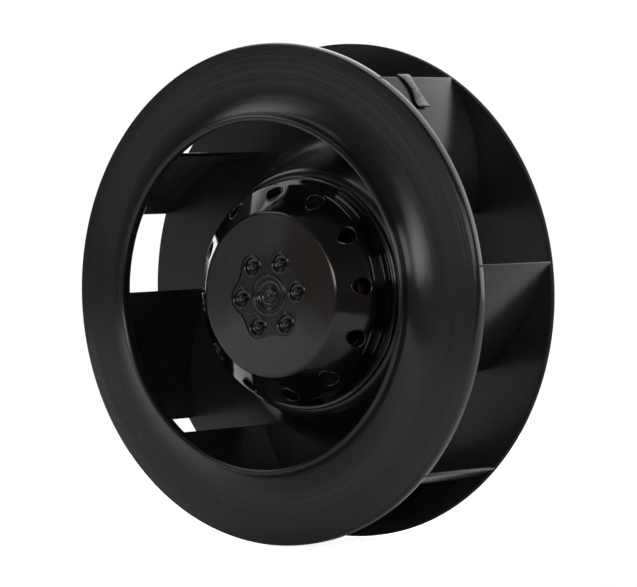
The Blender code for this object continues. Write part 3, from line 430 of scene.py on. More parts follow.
def make_polyamide(name, roughness, rings, dust, gloss=0.42):
    """Glass-filled polyamide, injection moulded: black, with the rings of a turned mould."""
    tree, shader, place = new_finish(name, "#161617", roughness, ior=1.53)
    shader.inputs["Specular IOR Level"].default_value = gloss
    cloud = grain(tree, place, 0.02)
    tree.links.new(spread(tree, cloud, roughness - 0.03, roughness + 0.04),
                   shader.inputs["Roughness"])
    colour = mixed(tree, spread(tree, grain(tree, place, 0.05), 0.0, 1.0), linear("#141415"),
                   linear("#1a1a1b"))
    if dust:
        # Dust: motes 0.3 mm across and about 9 mm apart, and fewer in places
        motes = add(tree, "ShaderNodeTexVoronoi", None, {"Vector": place, "Scale": 1 / 0.009})
        near = spread(tree, motes.outputs["Distance"], 1.0, 0.0, 0.02, 0.045)
        some = spread(tree, grain(tree, place, 0.012, 1.0), 0.0, 1.0, 0.52, 0.6)
        both = add(tree, "ShaderNodeMath", {"operation": "MULTIPLY"}, {0: near, 1: some})
        colour = mixed(tree, both.outputs[0], colour, linear("#7d7d7a"))
    tree.links.new(colour, shader.inputs["Base Color"])
    bumped(tree, shader, [(tool_rings(tree, place, 0.0015), rings / 4, 0.0003),
                          (tool_rings(tree, place, 0.00025), rings, 0.0002),
                          (grain(tree, place, 0.0006), 0.05, 0.0001)])


def make_gloss_paint():
    """Baked black enamel on drawn steel: a deep gloss with slight orange peel."""
    tree, shader, place = new_finish("baked black enamel", "#0b0b0d", 0.09, ior=1.52)
    tree.links.new(spread(tree, grain(tree, place, 0.012), 0.06, 0.13), shader.inputs["Roughness"])
    bumped(tree, shader, [(grain(tree, place, 0.004, 2.0), 0.05, 0.0002),
                          (tool_rings(tree, place, 0.0016), 0.05, 0.00012)])


def make_face_paint():
    """The same enamel over a face turned flat: its rings spread the light away from the axis."""
    tree, shader, place = new_finish("enamel over turned steel", "#100f10", 0.16, ior=1.52)
    tree.links.new(spread(tree, grain(tree, place, 0.01), 0.12, 0.2), shader.inputs["Roughness"])
    bumped(tree, shader, [(tool_rings(tree, place, 0.0005), 0.18, 0.0001),
                          (grain(tree, place, 0.003, 2.0), 0.04, 0.0002)])


def make_metal(name, colour, roughness, size, depth, tint):
    """A bare or plated metal: the grain of its making moves its tone and its gloss."""
    tree, shader, place = new_finish(name, colour, roughness, metallic=1.0)
    lumps = grain(tree, place, size)
    tone = mixed(tree, spread(tree, lumps, 0.0, 1.0), linear(colour), linear(tint))
    tree.links.new(tone, shader.inputs["Base Color"])
    tree.links.new(spread(tree, grain(tree, place, size * 3), roughness - 0.08, roughness + 0.1),
                   shader.inputs["Roughness"])
    bumped(tree, shader, [(lumps, 0.2, depth)])


def make_laminations():
    """Electrical sheet: a stack of 0.5 mm steel sheets, drawn 1 mm apart so that they show."""
    tree, shader, place = new_finish("electrical sheet", "#5a5c60", 0.42, metallic=1.0)
    sheets = bands(tree, place, 0.001, 0.0)
    tree.links.new(mixed(tree, sheets, linear("#45474b"), linear("#6c6e72")),
                   shader.inputs["Base Color"])
    bumped(tree, shader, [(sheets, 0.5, 0.0002),
                          (grain(tree, place, 0.002), 0.1, 0.0001)])


def make_copper():
    """Copper wire, wound and dipped: dark varnish over 0.5 mm strands, drawn 1 mm apart."""
    tree, shader, place = new_finish("enamelled copper wire", "#3a2014", 0.34, metallic=1.0)
    strands = bands(tree, place, 0.001, 1.5)
    tree.links.new(mixed(tree, strands, linear("#24140e"), linear("#4c2a1a")),
                   shader.inputs["Base Color"])
    bumped(tree, shader, [(strands, 0.8, 0.0003)])


def make_moulded(name, colour, tint, roughness, size):
    """A moulded plastic or rubber with a fine matt grain."""
    tree, shader, place = new_finish(name, colour, roughness)
    tone = mixed(tree, spread(tree, grain(tree, place, 0.01), 0.0, 1.0), linear(colour),
                 linear(tint))
    tree.links.new(tone, shader.inputs["Base Color"])
    bumped(tree, shader, [(grain(tree, place, size), 0.15, 0.0001)])


# Sizes


def length(name, description, default, least=0.001):
    """A size in metres that the user may change."""
    return FloatProperty(name=name, description=description, default=default, min=least,
                         unit="LENGTH")


def angle(name, description, degrees):
    """An angle that the user may change."""
    return FloatProperty(name=name, description=description, default=math.radians(degrees),
                         subtype="ANGLE")


class WheelSizes(bpy.types.PropertyGroup):
    """Sizes of the wheel: two discs, the blades between them and the balance clip."""

    wall: length("Wall", "Thickness of both discs", 0.003)
    collar_radius: length("Collar radius", "Outer radius of the inlet collar", 0.0892, 0.01)
    collar_height: length("Collar height", "Collar's crest over the front disc", 0.012)
    fillet_reach: length("Fillet reach", "Width of the collar's outer fillet", 0.015)
    fillet_rise: length("Fillet rise", "Height of the collar's outer fillet", 0.0095)
    rim_depth: length("Rim depth", "Depth of the front disc's turned edge", 0.0063)
    blade_count: IntProperty(name="Blades", description="Number of blades", default=7, min=3)
    blade_wall: length("Blade wall", "Thickness of a blade", 0.002, 0.0005)
    blade_wrap: angle("Blade wrap", "Angle between a blade's two ends", 32.9)
    blade_bow: length("Blade bow", "Rise of a blade's arc over its chord", 0.0066, 0.0001)
    blade_tip_angle: angle("First tip", "Angle of the first blade's tip", 4.8)
    clip_width: length("Clip width", "Width of the balance clip's ends", 0.0095)
    steps: IntProperty(name="Facets", description="Facets round each disc", default=224, min=16)


class MotorSizes(bpy.types.PropertyGroup):
    """Sizes of the rotor shell with its vents and stakes."""

    face_fall: length("Face fall", "Fall of the rotor face to its edge", 0.0013, 0.0)
    shell_radius: length("Shell radius", "Radius of the rotor shell's wall", 0.0548, 0.01)
    shoulder_reach: length("Shoulder reach", "Width of the conical shoulder", 0.0140)
    shoulder_depth: length("Shoulder depth", "Face to the shoulder's foot", 0.0158)
    ring_height: length("Ring height", "Front of the ring the wheel sits on", 0.0625)
    vent_count: IntProperty(name="Vents", description="Holes round the shoulder", default=12, min=1)
    vent_width: length("Vent width", "Width of a vent round the shoulder", 0.0084)
    vent_length: length("Vent length", "Length of a vent down the shoulder", 0.0100)
    vent_drop: length("Vent drop", "Face to the vents' centres", 0.0108)
    vent_angle: angle("First vent", "Angle of the first vent", 2.6)
    stake_count: IntProperty(name="Stakes", description="Pins riveted into the face",
                             default=6, min=1)
    stake_pitch: length("Stake pitch", "Radius of the circle of pins", 0.0174)
    stake_angle: angle("First stake", "Angle of the first pin", 3.3)
    steps: IntProperty(name="Facets", description="Facets round the shell", default=192, min=16)


class StageSetup(bpy.types.PropertyGroup):
    """Camera, floor and lights."""

    camera_place: FloatVectorProperty(
        name="Camera", description="Camera's place", default=(1.32075, -1.77325, 0.01621),
        subtype="TRANSLATION", unit="LENGTH")
    camera_turn: FloatVectorProperty(
        name="Camera turn", description="Camera's rotation", subtype="EULER",
        default=tuple(math.radians(turn) for turn in (89.5532, 2.6653, 37.4295)))
    lens: FloatProperty(name="Lens", description="Focal length in millimetres", default=244.02,
                        min=10)
    backdrop: FloatProperty(name="Backdrop", description="Brightness of the white paper behind",
                            default=2.0, min=0)
    room: FloatProperty(name="Room", description="Brightness of the room on the camera's side",
                        default=0.22, min=0)
    # Strength of the light painted into the floor as a glow, strongest at its left
    floor_glow: FloatProperty(name="Floor glow", description="Light up through the floor",
                              default=0.5, min=0)
    floor_size: length("Floor size", "Half the width of the floor sheet", 2.2, 0.5)
    floor_front: length("Floor front", "Fan axis to the floor's front edge", 0.40, 0.2)
    floor_turn: angle("Floor turn", "Turn of the floor's front edge", 48)
    floor_colour: StringProperty(name="Floor", description="Floor colour as sRGB hex",
                                 default="#f6f6f5")


# Wheel


def wheel_front():
    """Height of the front disc's face."""
    return front("front_shroud") - bpy.context.scene.wheel_sizes.collar_height


def shroud_underside(inset):
    """The front disc's inner surface from the collar to the rim, sunk by an inset."""
    sizes = bpy.context.scene.wheel_sizes
    wall = sizes.wall - inset
    level = wheel_front()
    path = arc(sizes.collar_radius + sizes.fillet_reach, level + sizes.fillet_rise,
               sizes.fillet_reach + wall, sizes.fillet_rise + wall, 180, 270, 14)
    edge = reach("front_shroud") - sizes.wall
    corner = 0.0012
    path += arc(edge - corner, level - wall - corner, corner, corner, 90, 0, 3)
    return path + [(edge, level - sizes.rim_depth)]


def hub_front():
    """The back disc's front surface from the hub's edge out to the rim."""
    shelf_radius = 0.0626
    foot_radius = 0.081
    edge = 0.004
    level = front("back_plate")
    floor = rear("back_plate") + bpy.context.scene.wheel_sizes.wall
    path = arc(shelf_radius - edge, level - edge, edge, edge, 90, 15, 6)
    crown = path[-1]
    path += bezier(crown, (crown[0] + 0.0035, crown[1] - 0.011), (crown[0] + 0.0075, floor),
                   (foot_radius, floor), 18)[1:]
    return path + [(reach("back_plate"), floor)]


def blade_line(sizes, steps):
    """The first blade's middle line, from its tip at the rim to its leading edge."""
    tip = polar(reach("front_shroud") - 0.0005, sizes.blade_tip_angle)
    lead = polar(sizes.collar_radius + 0.0002, sizes.blade_tip_angle - sizes.blade_wrap)
    return bowed(tip, lead, sizes.blade_bow, steps)


class FAN_OT_front_disc(bpy.types.Operator):
    """Turn the front disc with its raised inlet collar and turned-back rim"""

    bl_idname = "fan.front_disc"
    bl_label = "Front Disc"

    def execute(self, context):
        sizes = context.scene.wheel_sizes
        rim = reach("front_shroud")
        crest = front("front_shroud")
        level = wheel_front()
        lip = sizes.wall / 2
        section = arc(sizes.collar_radius - lip, crest - lip, lip, lip, 180, 0, 10)
        section += arc(sizes.collar_radius + sizes.fillet_reach, level + sizes.fillet_rise,
                       sizes.fillet_reach, sizes.fillet_rise, 180, 270, 18)
        corner, corner_rise, corner_drop, flat_end = 0.0013, 0.0032, 0.0036, 0.0065
        section.append((rim - flat_end, level))
        section += arc(rim - corner, level - corner_drop, corner, corner_rise, 80, 0, 12)
        section.append((rim, level - sizes.rim_depth))
        section += shroud_underside(0)[::-1]
        disc = turned("front_disc", section, sizes.steps, edge=0.0003)
        dress(disc, "moulded polyamide, turned mould", "rotor", "front_shroud")
        return {"FINISHED"}


class FAN_OT_blades(bpy.types.Operator):
    """Draw one blade between the discs and copy it round the wheel"""

    bl_idname = "fan.blades"
    bl_label = "Blades"

    def execute(self, context):
        sizes = context.scene.wheel_sizes
        path = blade_line(sizes, 40)
        sides = normals(path)
        half = sizes.blade_wall / 2
        left = [p + n * half for p, n in zip(path, sides)]
        right = [p - n * half for p, n in zip(path, sides)]
        roof = shroud_underside(sizes.wall / 3)
        floor = rear("back_plate") + sizes.wall * 2 / 3
        shape = bmesh.new()
        rows = []
        for a, b in zip(left, right):
            row = [shape.verts.new((*p, z)) for p, z in
                   ((a, floor), (a, height_at(roof, a.length)),
                    (b, height_at(roof, b.length)), (b, floor))]
            rows.append(row)
        for near, far in zip(rows, rows[1:]):
            for index in range(4):
                after = (index + 1) % 4
                shape.faces.new((near[index], near[after], far[after], far[index]))
        shape.faces.new(rows[0][::-1])
        shape.faces.new(rows[-1])
        blades = new_object("fan_blades", mesh_of("fan_blades", shape))
        soften(blades, 0.0005, segments=3)
        ring_of(blades, sizes.blade_count, 0.0, "moulded polyamide")
        dress(blades, "moulded polyamide", "rotor",
              *(f"blade_{index + 1}" for index in range(sizes.blade_count)))
        return {"FINISHED"}


class FAN_OT_back_disc(bpy.types.Operator):
    """Turn the back disc, which climbs to the hub's shelf round the rotor"""

    bl_idname = "fan.back_disc"
    bl_label = "Back Disc"

    def execute(self, context):
        sizes = context.scene.wheel_sizes
        bore = context.scene.motor_sizes.shell_radius + 0.0003
        path = [(bore, front("back_plate"))] + hub_front()
        behind = [tuple(Vector(p) - n * sizes.wall) for p, n in zip(path, normals(path))]
        behind[-1] = (reach("back_plate"), rear("back_plate"))
        disc = turned("back_disc", path + behind[::-1], sizes.steps, edge=0.00015)
        disc.data.materials.append(finishes["moulded polyamide"])
        disc.data.materials.append(finishes["moulded polyamide, sheared edge"])
        edge = reach("back_plate") - 0.0004
        for face in disc.data.polygons:
            face.material_index = int(math.hypot(face.center.x, face.center.y) > edge)
        dress(disc, "moulded polyamide", "rotor", "back_plate")
        return {"FINISHED"}


class FAN_OT_balance_clip(bpy.types.Operator):
    """Bend the waisted balance clip over the second blade's trailing edge"""

    bl_idname = "fan.balance_clip"
    bl_label = "Balance Clip"

    def execute(self, context):
        sizes = context.scene.wheel_sizes
        path = blade_line(sizes, 60)
        sides = normals(path)
        pitch = (path[1] - path[0]).length
        leg, fold_reach, sheet, gap = 0.0186, 0.0011, 0.0007, 0.0004
        # The long leg stands off the blade in its middle, flares at its foot and leans; its
        # waist and its flare begin and end at shares of its length
        bulge, flare, slant = 0.0009, 0.0016, 0.0026
        waist_depth, waist_end, flare_start = 0.45, 0.86, 0.85
        count = 16
        outer = sizes.blade_wall / 2 + gap
        middle = (front("balance_clip") + rear("balance_clip")) / 2
        strip = []
        for index in range(count, -1, -1):
            share = index / count
            at = int(share * leg / pitch)
            flared = max(0, share - flare_start) / (1 - flare_start)
            lift = outer + bulge * math.sin(math.pi * share) + flare * flared
            waist = 1 - waist_depth * math.sin(math.pi * min(share / waist_end, 1)) ** 1.5
            strip.append((path[at] + sides[at] * lift, sizes.clip_width / 2 * waist,
                          -slant * share))
        fold = path[0] - (path[1] - path[0]).normalized() * fold_reach
        strip.append((fold + sides[0] * outer * 0.7, sizes.clip_width / 2, 0))
        strip.append((fold - sides[0] * outer * 0.7, sizes.clip_width / 2, 0))
        for index in range(count // 2 + 1):
            at = int(index / count * leg / pitch)
            strip.append((path[at] - sides[at] * outer, sizes.clip_width / 2, 0))
        shape = bmesh.new()
        rows = [[shape.verts.new((*place, middle + slide + side * half)) for side in (-1, 0, 1)]
                for place, half, slide in strip]
        for near, far in zip(rows, rows[1:]):
            for index in (0, 1):
                shape.faces.new((near[index], near[index + 1], far[index + 1], far[index]))
        clip = new_object("spring_clip", mesh_of("spring_clip", shape))
        wall = clip.modifiers.new("Sheet", "SOLIDIFY")
        wall.thickness = sheet
        wall.offset = 0
        settle(clip)
        soften(clip, 0.00012)
        clip.data.transform(Matrix.Rotation(math.tau / sizes.blade_count, 4, "Z"))
        dress(clip, "blued spring steel", "rotor", "balance_clip")
        return {"FINISHED"}


# Motor


def shell_outside(sizes):
    """The rotor shell's outer surface, from the axis to its open edge."""
    top = front("rotor_cup")
    wall = sizes.shell_radius
    ring = sizes.ring_height
    step = wall + 0.0019
    edge = wall - sizes.shoulder_reach
    low = top - sizes.face_fall
    flat, lip = 0.010, ring - 0.002
    path = [(0, top), (flat, top)]
    path += rounded([(flat, top), (0.0195, top), (edge, low), (wall, top - sizes.shoulder_depth),
                     (wall, ring + 0.0036), (step, ring + 0.0019), (step, ring),
                     (reach("rotor_cup"), ring), (reach("rotor_cup"), lip), (wall, lip),
                     (wall, rear("rotor_cup"))],
                    [0, 0.02, 0.0028, 0.0021, 0.0012, 0.0006, 0.0003, 0.0007, 0.0006, 0, 0], 9)[1:]
    return path


def vent_seat(sizes):
    """Place on the shoulder where the first vent is punched, square to the surface."""
    height = front("rotor_cup") - sizes.vent_drop
    edge = sizes.shell_radius - sizes.shoulder_reach
    seat = edge + sizes.shoulder_reach * sizes.vent_drop / sizes.shoulder_depth
    lean = math.atan2(sizes.shoulder_depth, sizes.shoulder_reach)
    oval = Matrix.Diagonal((sizes.vent_length / sizes.vent_width, 1, 1, 1))
    return Matrix.Translation((seat, 0, height)) @ Matrix.Rotation(lean, 4, "Y") @ oval


def make_egg(obj, sizes):
    """Narrow a vent's round tool or lip towards the axis, and seat it on the shoulder."""
    taper = 0.3
    for vert in obj.data.vertices:
        vert.co.y *= 1 + taper * vert.co.x / (sizes.vent_width / 2)
    obj.data.transform(vent_seat(sizes))


class FAN_OT_rotor_shell(bpy.types.Operator):
    """Turn the rotor shell, punch its vents and press its staked panel"""

    bl_idname = "fan.rotor_shell"
    bl_label = "Rotor Shell"

    def execute(self, context):
        sizes = context.scene.motor_sizes
        top = front("rotor_cup")
        inner, roof = 0.0528, top - 0.0025
        inside = rounded([(inner, rear("rotor_cup")), (inner, 0.0738), (0.0402, roof), (0, roof)],
                         [0, 0.002, 0.002, 0], 5)
        shell = turned("rotor_shell", shell_outside(sizes) + inside, sizes.steps)
        punch = prism("vent_punches", circle(sizes.vent_width / 2, 40), -0.005, 0.005)
        make_egg(punch, sizes)
        cut(shell, ring_of(punch, sizes.vent_count, sizes.vent_angle, "baked black enamel"))
        lobe = sizes.stake_pitch + 0.0061
        waist = 0.0200
        outline = []
        points = 144
        for step in range(points):
            turn = math.tau * step / points
            swing = math.cos(sizes.stake_count * (turn - sizes.stake_angle))
            outline.append(polar((lobe + waist) / 2 + (lobe - waist) / 2 * swing, turn))
        cut(shell, prism("panel_press", outline, top - PANEL_DEPTH, top + 0.002))
        dish = [(0, -0.0012), (0.0032, -0.0012), (0.0038, -0.0009), (0.0044, 0.0002),
                (0.0044, 0.003), (0, 0.003)]
        press = turned("stake_press", dish, 32)
        level = top - 0.0006
        press.data.transform(Matrix.Translation((sizes.stake_pitch, 0, level)))
        cut(shell, ring_of(press, sizes.stake_count, sizes.stake_angle, "baked black enamel"))
        centre = turned("centre_press", [(0, -0.0012), (0.0066, -0.0012), (0.0072, -0.0009),
                                         (0.0079, 0.0002), (0.0079, 0.003), (0, 0.003)], 48)
        centre.data.transform(Matrix.Translation((0, 0, level)))
        cut(shell, centre)
        cut(shell, prism("bore_punch", circle(0.0043, 40), top - 0.005, top + 0.005))
        shell.data.materials.clear()
        shell.data.materials.append(finishes["baked black enamel"])
        shell.data.materials.append(finishes["enamel over turned steel"])
        turned_reach, turned_depth = 0.0415, 0.0035
        for face in shell.data.polygons:
            middle = face.center
            flat = (middle.z > top - turned_depth
                    and math.hypot(middle.x, middle.y) < turned_reach)
            face.material_index = int(flat and face.normal.z > 0.5)
        dress(shell, "baked black enamel", "rotor", "rotor_cup")
        return {"FINISHED"}


class FAN_OT_vent_lips(bpy.types.Operator):
    """Roll a rounded lip round each vent in the rotor's shoulder"""

    bl_idname = "fan.vent_lips"
    bl_label = "Vent Lips"

    def execute(self, context):
        sizes = context.scene.motor_sizes
        bead = arc(sizes.vent_width / 2 + 0.0001, -0.0004, 0.0004, 0.00045, 0, 360, 12)[:-1]
        lips = turned("vent_lips", bead, 40)
        make_egg(lips, sizes)
        ring_of(lips, sizes.vent_count, sizes.vent_angle, "baked black enamel")
        dress(lips, "baked black enamel", "rotor")
        return {"FINISHED"}


class FAN_OT_stakes(bpy.types.Operator):
    """Rivet the hollow stakes over in their recesses, and raise the rolls round them"""

    bl_idname = "fan.stakes"
    bl_label = "Stakes"

    def execute(self, context):
        sizes = context.scene.motor_sizes
        floor = front("rotor_cup") - RECESS_DEPTH
        head = [(0, 0.0011), (0.0004, 0.0011), (0.0007, 0.0013), (0.0011, 0.0015),
                (0.0015, 0.00145), (0.0019, 0.0011), (0.0022, 0.0006), (0.0024, 0.0),
                (0.0024, -0.0006), (0, -0.0006)]
        stakes = turned("stake_heads", head, 32)
        stakes.data.transform(Matrix.Translation((sizes.stake_pitch, 0, floor)))
        ring_of(stakes, sizes.stake_count, sizes.stake_angle, "baked black enamel")
        dress(stakes, "baked black enamel", "rotor")
        panel = front("rotor_cup") - PANEL_DEPTH
        rolls = turned("stake_rolls", arc(0.0050, 0, 0.0006, 0.0004, 0, 360, 12)[:-1], 40)
        rolls.data.transform(Matrix.Translation((sizes.stake_pitch, 0, panel)))
        ring_of(rolls, sizes.stake_count, sizes.stake_angle, "baked black enamel")
        dress(rolls, "baked black enamel", "rotor")
        roll = turned("centre_roll", arc(0.0098, panel, 0.0008, 0.00035, 0, 360, 12)[:-1], 64)
        dress(roll, "baked black enamel", "rotor")
        return {"FINISHED"}


class FAN_OT_shaft(bpy.types.Operator):
    """Turn the shaft with its centre mark, and the collar round it in the rotor's face"""

    bl_idname = "fan.shaft"
    bl_label = "Shaft"

    def execute(self, context):
        top = front("shaft")
        low = rear("shaft")
        shaft = turned("ground_shaft", [(0, top - 0.0014), (0.0012, top - 0.0002), (0.0034, top),
                                        (0.004, top - 0.0006), (0.004, low + 0.0006),
                                        (0.0034, low), (0, low)], 48, edge=0.00008)
        shaft.data.materials.append(finishes["ground bearing steel"])
        shaft.data.materials.append(finishes["enamel over turned steel"])
        for face in shaft.data.polygons:
            face.material_index = int(face.center.z > top - 0.0015)
        dress(shaft, "ground bearing steel", "rotor", "shaft")
        collar = turned("shaft_collar", [(0.0042, top - 0.0016), (0.0042, top - 0.0007),
                                         (0.0046, top - 0.0005), (0.0052, top - 0.0006),
                                         (0.0056, top - 0.0012), (0.0056, top - 0.0016)], 48)
        dress(collar, "enamel over turned steel", "rotor")
        return {"FINISHED"}


class FAN_OT_flange(bpy.types.Operator):
    """Cast the mounting flange with its ribs, bosses, tapped holes and bearing tube"""

    bl_idname = "fan.flange"
    bl_label = "Mounting Flange"

    def execute(self, context):
        rim = reach("motor_flange")
        top = front("motor_flange")
        bore, tube, foot = 0.011, 0.013, 0.015
        wall, plate, lip, shoulder = 0.003, 0.006, 0.009, 0.0218
        section = [(0, wall), (bore, wall), (bore, top), (tube, top), (tube, shoulder),
                   (foot, shoulder), (foot, plate), (rim - wall, plate), (rim - wall, lip),
                   (rim, lip), (rim, 0), (0, 0)]
        flange = turned("mounting_flange", section, 160, edge=0.0004)
        bolt_circle = 0.035
        boss = prism("bosses", circle(0.005, 40, (bolt_circle, 0)), wall, lip)
        cut(flange, ring_of(boss, 4, math.pi / 4, "die-cast aluminium"), "UNION")
        inner, outer, half = 0.014, rim - 0.0015, 0.00125
        rib = prism("ribs", [(inner, -half), (outer, -half), (outer, half), (inner, half)],
                    wall, 0.008)
        cut(flange, ring_of(rib, 8, math.pi / 8, "die-cast aluminium"), "UNION")
        hole = turned("tapped_holes", [(0, -0.001), (0.0036, -0.001), (0.0020, 0.0006),
                                       (0.0020, 0.007), (0, 0.0078)], 32)
        hole.data.transform(Matrix.Translation((bolt_circle, 0, 0)))
        cut(flange, ring_of(hole, 4, math.pi / 4, "die-cast aluminium"))
        lead_exit = Matrix.Translation((0, -0.026, 0))
        lead = turned("lead_hole", [(0, -0.001), (0.0063, -0.001), (0.0063, 0.0023),
                                    (0.0036, 0.0023), (0.0036, 0.012), (0, 0.012)], 40)
        lead.data.transform(lead_exit)
        cut(flange, lead)
        flange.data.materials.clear()
        dress(flange, "die-cast aluminium", "stator", "motor_flange")
        grommet = turned("grommet", [(0.0018, 0.0006), (0.0024, 0.0003), (0.0055, 0.0003),
                                     (0.0060, 0.0007), (0.0060, 0.0020), (0.0034, 0.0021),
                                     (0.0034, 0.0062), (0.0050, 0.0063), (0.0050, 0.0070),
                                     (0.0038, 0.0077), (0.0018, 0.0077)], 40, edge=0.0002)
        grommet.data.transform(lead_exit)
        dress(grommet, "moulded rubber", "stator", "lead_grommet")
        return {"FINISHED"}


# Finishes and stage


class FAN_OT_finishes(bpy.types.Operator):
    """Make every finish and lay the right one on each CAD node"""

    bl_idname = "fan.finishes"
    bl_label = "Finishes"

    def execute(self, context):
        make_polyamide("moulded polyamide", roughness=0.27, rings=0.05, dust=False)
        make_polyamide("moulded polyamide, turned mould", roughness=0.17, rings=0.35, dust=True)
        make_polyamide("moulded polyamide, sheared edge", roughness=0.6, rings=0.05, dust=False,
                       gloss=0.08)
        make_gloss_paint()
        make_face_paint()
        make_laminations()
        make_copper()
        # Blued steel is dark with a soft shine, ground steel bright and nearly smooth, and
        # die-cast aluminium pale and matt: roughness, then the grain's size and depth in metres
        make_metal("blued spring steel", "#3c3e42", 0.3, 0.0015, 0.0001, "#6a6b6e")
        make_metal("ground bearing steel", "#b4b6b9", 0.2, 0.0006, 0.00002, "#c6c8ca")
        make_metal("die-cast aluminium", "#a9abad", 0.46, 0.0012, 0.0001, "#bcbdbe")
        # Rubber is black and dull, and unfilled polyamide the colour of cream
        make_moulded("moulded rubber", "#161616", "#1c1c1c", 0.62, 0.0006)
        make_moulded("natural polyamide", "#d8d0bc", "#cbc2ab", 0.5, 0.0008)
        by_slot = {"wheel_plastic": "moulded polyamide", "rotor_paint": "baked black enamel",
                   "cast_aluminium": "die-cast aluminium", "bright_steel": "ground bearing steel",
                   "spring_steel": "blued spring steel", "laminations": "electrical sheet",
                   "end_cap_plastic": "natural polyamide",
                   "enamelled_copper": "enamelled copper wire", "black_rubber": "moulded rubber"}
        for part in frame["record"]["subparts"]:
            slots = frame["nodes"][part["node"]].data.materials
            slots.clear()
            slots.append(finishes[by_slot[part["material_slot"]]])
        return {"FINISHED"}


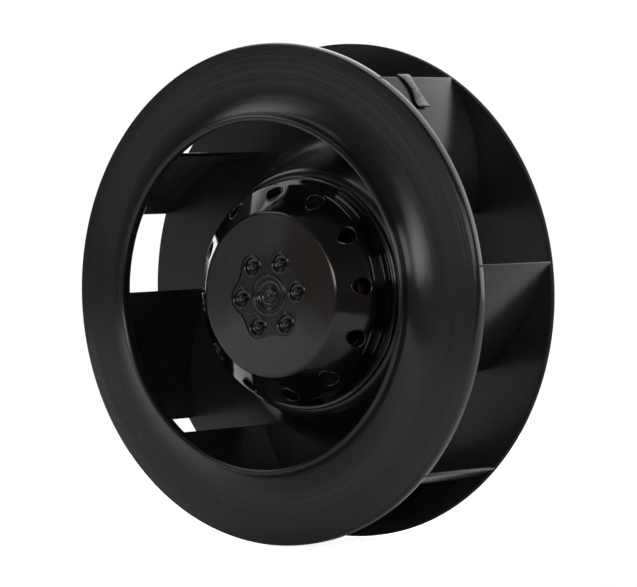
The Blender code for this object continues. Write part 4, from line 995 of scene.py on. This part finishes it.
class FAN_OT_stage(bpy.types.Operator):
    """Lay the floor, hang the lights and set the camera"""

    bl_idname = "fan.stage"
    bl_label = "Stage"

    # Softboxes: azimuth from -Y towards +X and elevation in degrees, the angles that they span
    # as the fan sees them, their distance, and their brightness against white
    softboxes = {
        "overhead_softbox": (-72, 54, 34, 24, 1.8, 1.5),
        "overhead_strip": (-42, 42, 26, 5, 1.9, 2.6),
        "near_window": (24, 11, 38, 15, 1.9, 5.0),
        "far_window": (83, 18, 40, 20, 1.9, 2.4),
        "curtain": (-5, 11, 16, 15, 2.2, 1.3),
        "slot": (-36.6, 13, 1.4, 18, 2.2, 1.5),
    }

    def execute(self, context):
        setup = context.scene.stage_setup
        camera = bpy.data.objects.new("camera", bpy.data.cameras.new("camera"))
        context.scene.collection.objects.link(camera)
        camera.location = setup.camera_place
        camera.rotation_euler = setup.camera_turn
        camera.data.lens = setup.lens
        context.scene.camera = camera
        self.sheet(setup)
        centre = (CAD_BOX[0] + CAD_BOX[1]) / 2
        for name, (azimuth, elevation, wide, high, distance, level) in self.softboxes.items():
            light = bpy.data.lights.new(name, "AREA")
            light.shape = "RECTANGLE"
            light.size = 2 * distance * math.tan(math.radians(wide / 2))
            light.size_y = 2 * distance * math.tan(math.radians(high / 2))
            light.energy = level * math.pi * light.size * light.size_y
            turn, lift = math.radians(azimuth), math.radians(elevation)
            away = Vector((math.sin(turn) * math.cos(lift), -math.cos(turn) * math.cos(lift),
                           math.sin(lift)))
            lamp = bpy.data.objects.new(name, light)
            context.scene.collection.objects.link(lamp)
            lamp.location = centre + away * distance
            lamp.rotation_euler = away.to_track_quat("Z", "Y").to_euler()
        self.paper(context, setup)
        context.scene.view_settings.view_transform = "Standard"
        return {"FINISHED"}

    def sheet(self, setup):
        """Pale sheet under the fan, whose straight front edge runs across the camera's view."""
        width = setup.floor_size
        corners = [(-width, -setup.floor_front), (width, -setup.floor_front), (width, width / 2),
                   (-width, width / 2)]
        mesh = bpy.data.meshes.new("floor")
        mesh.from_pydata([(x, y, 0) for x, y in corners], [], [(0, 1, 2, 3)])
        floor = new_object("floor", mesh)
        gap = 0.0004
        level = Matrix.Translation((0, 0, CAD_BOX[0].z - gap))
        mesh.transform(level @ Matrix.Rotation(setup.floor_turn, 4, "Z"))
        # A pale sheet whose glow from below is painted light; there are no lamps under it
        tree, shader, place = new_finish("opal acrylic with painted glow", setup.floor_colour, 0.6)
        tree.links.new(spread(tree, grain(tree, place, 0.3), 0.56, 0.64),
                       shader.inputs["Roughness"])
        shader.inputs["Emission Color"].default_value = linear(setup.floor_colour)
        # The floor's glow is painted light, strongest at its left as if lamps stood under the sheet
        # there, and the camera sees it burnt out to white
        across = add(tree, "ShaderNodeSeparateXYZ", None, {0: place}).outputs[0]
        painted_glow = spread(tree, across, setup.floor_glow, 0.0, -0.9, -0.2)
        seen = add(tree, "ShaderNodeLightPath").outputs["Is Camera Ray"]
        glow = add(tree, "ShaderNodeMix", None, {"Factor": seen, "A": painted_glow, "B": 0.95})
        tree.links.new(glow.outputs[0], shader.inputs["Emission Strength"])
        mesh.materials.append(finishes["opal acrylic with painted glow"])

    # Surroundings by azimuth, in degrees as for the softboxes: white paper behind, dark gaps
    # beside it, and in front a dim room with a bright strip and a brown door. A number is a
    # share of the room's brightness.
    surroundings = ((-180, "paper"), (-106, "paper"), (-98, 0.25), (-52, 0.25), (-47, 1.0),
                    (-46, 2.4), (-41.8, 2.4), (-40.8, 0.8), (-37, 0.8), (-34, "door"),
                    (-27, "door"), (-24, 1.0), (20, 0.55), (95, 0.45), (132, 0.3),
                    (142, "paper"), (180, "paper"))

    def paper(self, context, setup):
        """White paper behind the fan as the camera stands, and a dimmer room before it."""
        world = bpy.data.worlds.new("studio")
        context.scene.world = world
        world.use_nodes = True
        tree = world.node_tree
        place = add(tree, "ShaderNodeTexCoord").outputs["Generated"]
        parts = add(tree, "ShaderNodeSeparateXYZ", None, {0: place}).outputs
        before = add(tree, "ShaderNodeMath", {"operation": "MULTIPLY"}, {0: parts[1], 1: -1.0})
        azimuth = add(tree, "ShaderNodeMath", {"operation": "ARCTAN2"},
                      {0: parts[0], 1: before.outputs[0]}).outputs[0]
        share = spread(tree, azimuth, 0.0, 1.0, -math.pi, math.pi)
        ramp = add(tree, "ShaderNodeValToRGB", None, {"Fac": share})
        stops = ramp.color_ramp.elements
        while len(stops) < len(self.surroundings):
            stops.new(1.0)
        room = setup.room / setup.backdrop
        named = {"paper": (1, 1, 1), "door": (room, room * 0.78, room * 0.62)}
        for stop, (turn, level) in zip(stops, self.surroundings):
            stop.position = (turn + 180) / 360
            stop.color = (*(named[level] if level in named else (room * level,) * 3), 1)
        seen = add(tree, "ShaderNodeLightPath").outputs["Is Camera Ray"]
        colour = mixed(tree, seen, ramp.outputs[0], (1, 1, 1, 1))
        # The light falls off upwards, from 12 degrees over the horizon to 30
        low, high = 1.15 * setup.backdrop, 0.7 * setup.backdrop
        dimmed = spread(tree, parts[2], low, high, 0.2, 0.5)
        level = add(tree, "ShaderNodeMix", None, {"Factor": seen, "A": dimmed, "B": 1.02})
        background = tree.nodes["Background"].inputs
        tree.links.new(colour, background["Color"])
        tree.links.new(level.outputs[0], background["Strength"])


STEPS = ("finishes", "front_disc", "blades", "back_disc", "balance_clip", "rotor_shell",
         "vent_lips", "stakes", "shaft", "flange", "stage")


class FAN_PT_panel(bpy.types.Panel):
    """Sidebar panel with the sizes and the building steps"""

    bl_label = "Plug Fan"
    bl_idname = "FAN_PT_panel"
    bl_space_type = "VIEW_3D"
    bl_region_type = "UI"
    bl_category = "Plug Fan"

    def draw(self, context):
        scene = context.scene
        for group in (scene.wheel_sizes, scene.motor_sizes, scene.stage_setup):
            box = self.layout.box()
            for name in group.__annotations__:
                box.prop(group, name)
        for step in STEPS:
            self.layout.operator("fan." + step)


CLASSES = (WheelSizes, MotorSizes, StageSetup, FAN_OT_finishes, FAN_OT_front_disc, FAN_OT_blades,
           FAN_OT_back_disc, FAN_OT_balance_clip, FAN_OT_rotor_shell, FAN_OT_vent_lips,
           FAN_OT_stakes, FAN_OT_shaft, FAN_OT_flange, FAN_OT_stage, FAN_PT_panel)


def register():
    """Register the classes and hang the property groups on the scene."""
    for cls in CLASSES:
        bpy.utils.register_class(cls)
    bpy.types.Scene.wheel_sizes = PointerProperty(type=WheelSizes)
    bpy.types.Scene.motor_sizes = PointerProperty(type=MotorSizes)
    bpy.types.Scene.stage_setup = PointerProperty(type=StageSetup)


def unregister():
    """Undo register."""
    for name in ("wheel_sizes", "motor_sizes", "stage_setup"):
        delattr(bpy.types.Scene, name)
    for cls in reversed(CLASSES):
        bpy.utils.unregister_class(cls)


def main():
    """Build everything in order."""
    register()
    for step in STEPS:
        getattr(bpy.ops.fan, step)()


if __name__ == "__main__":
    main()
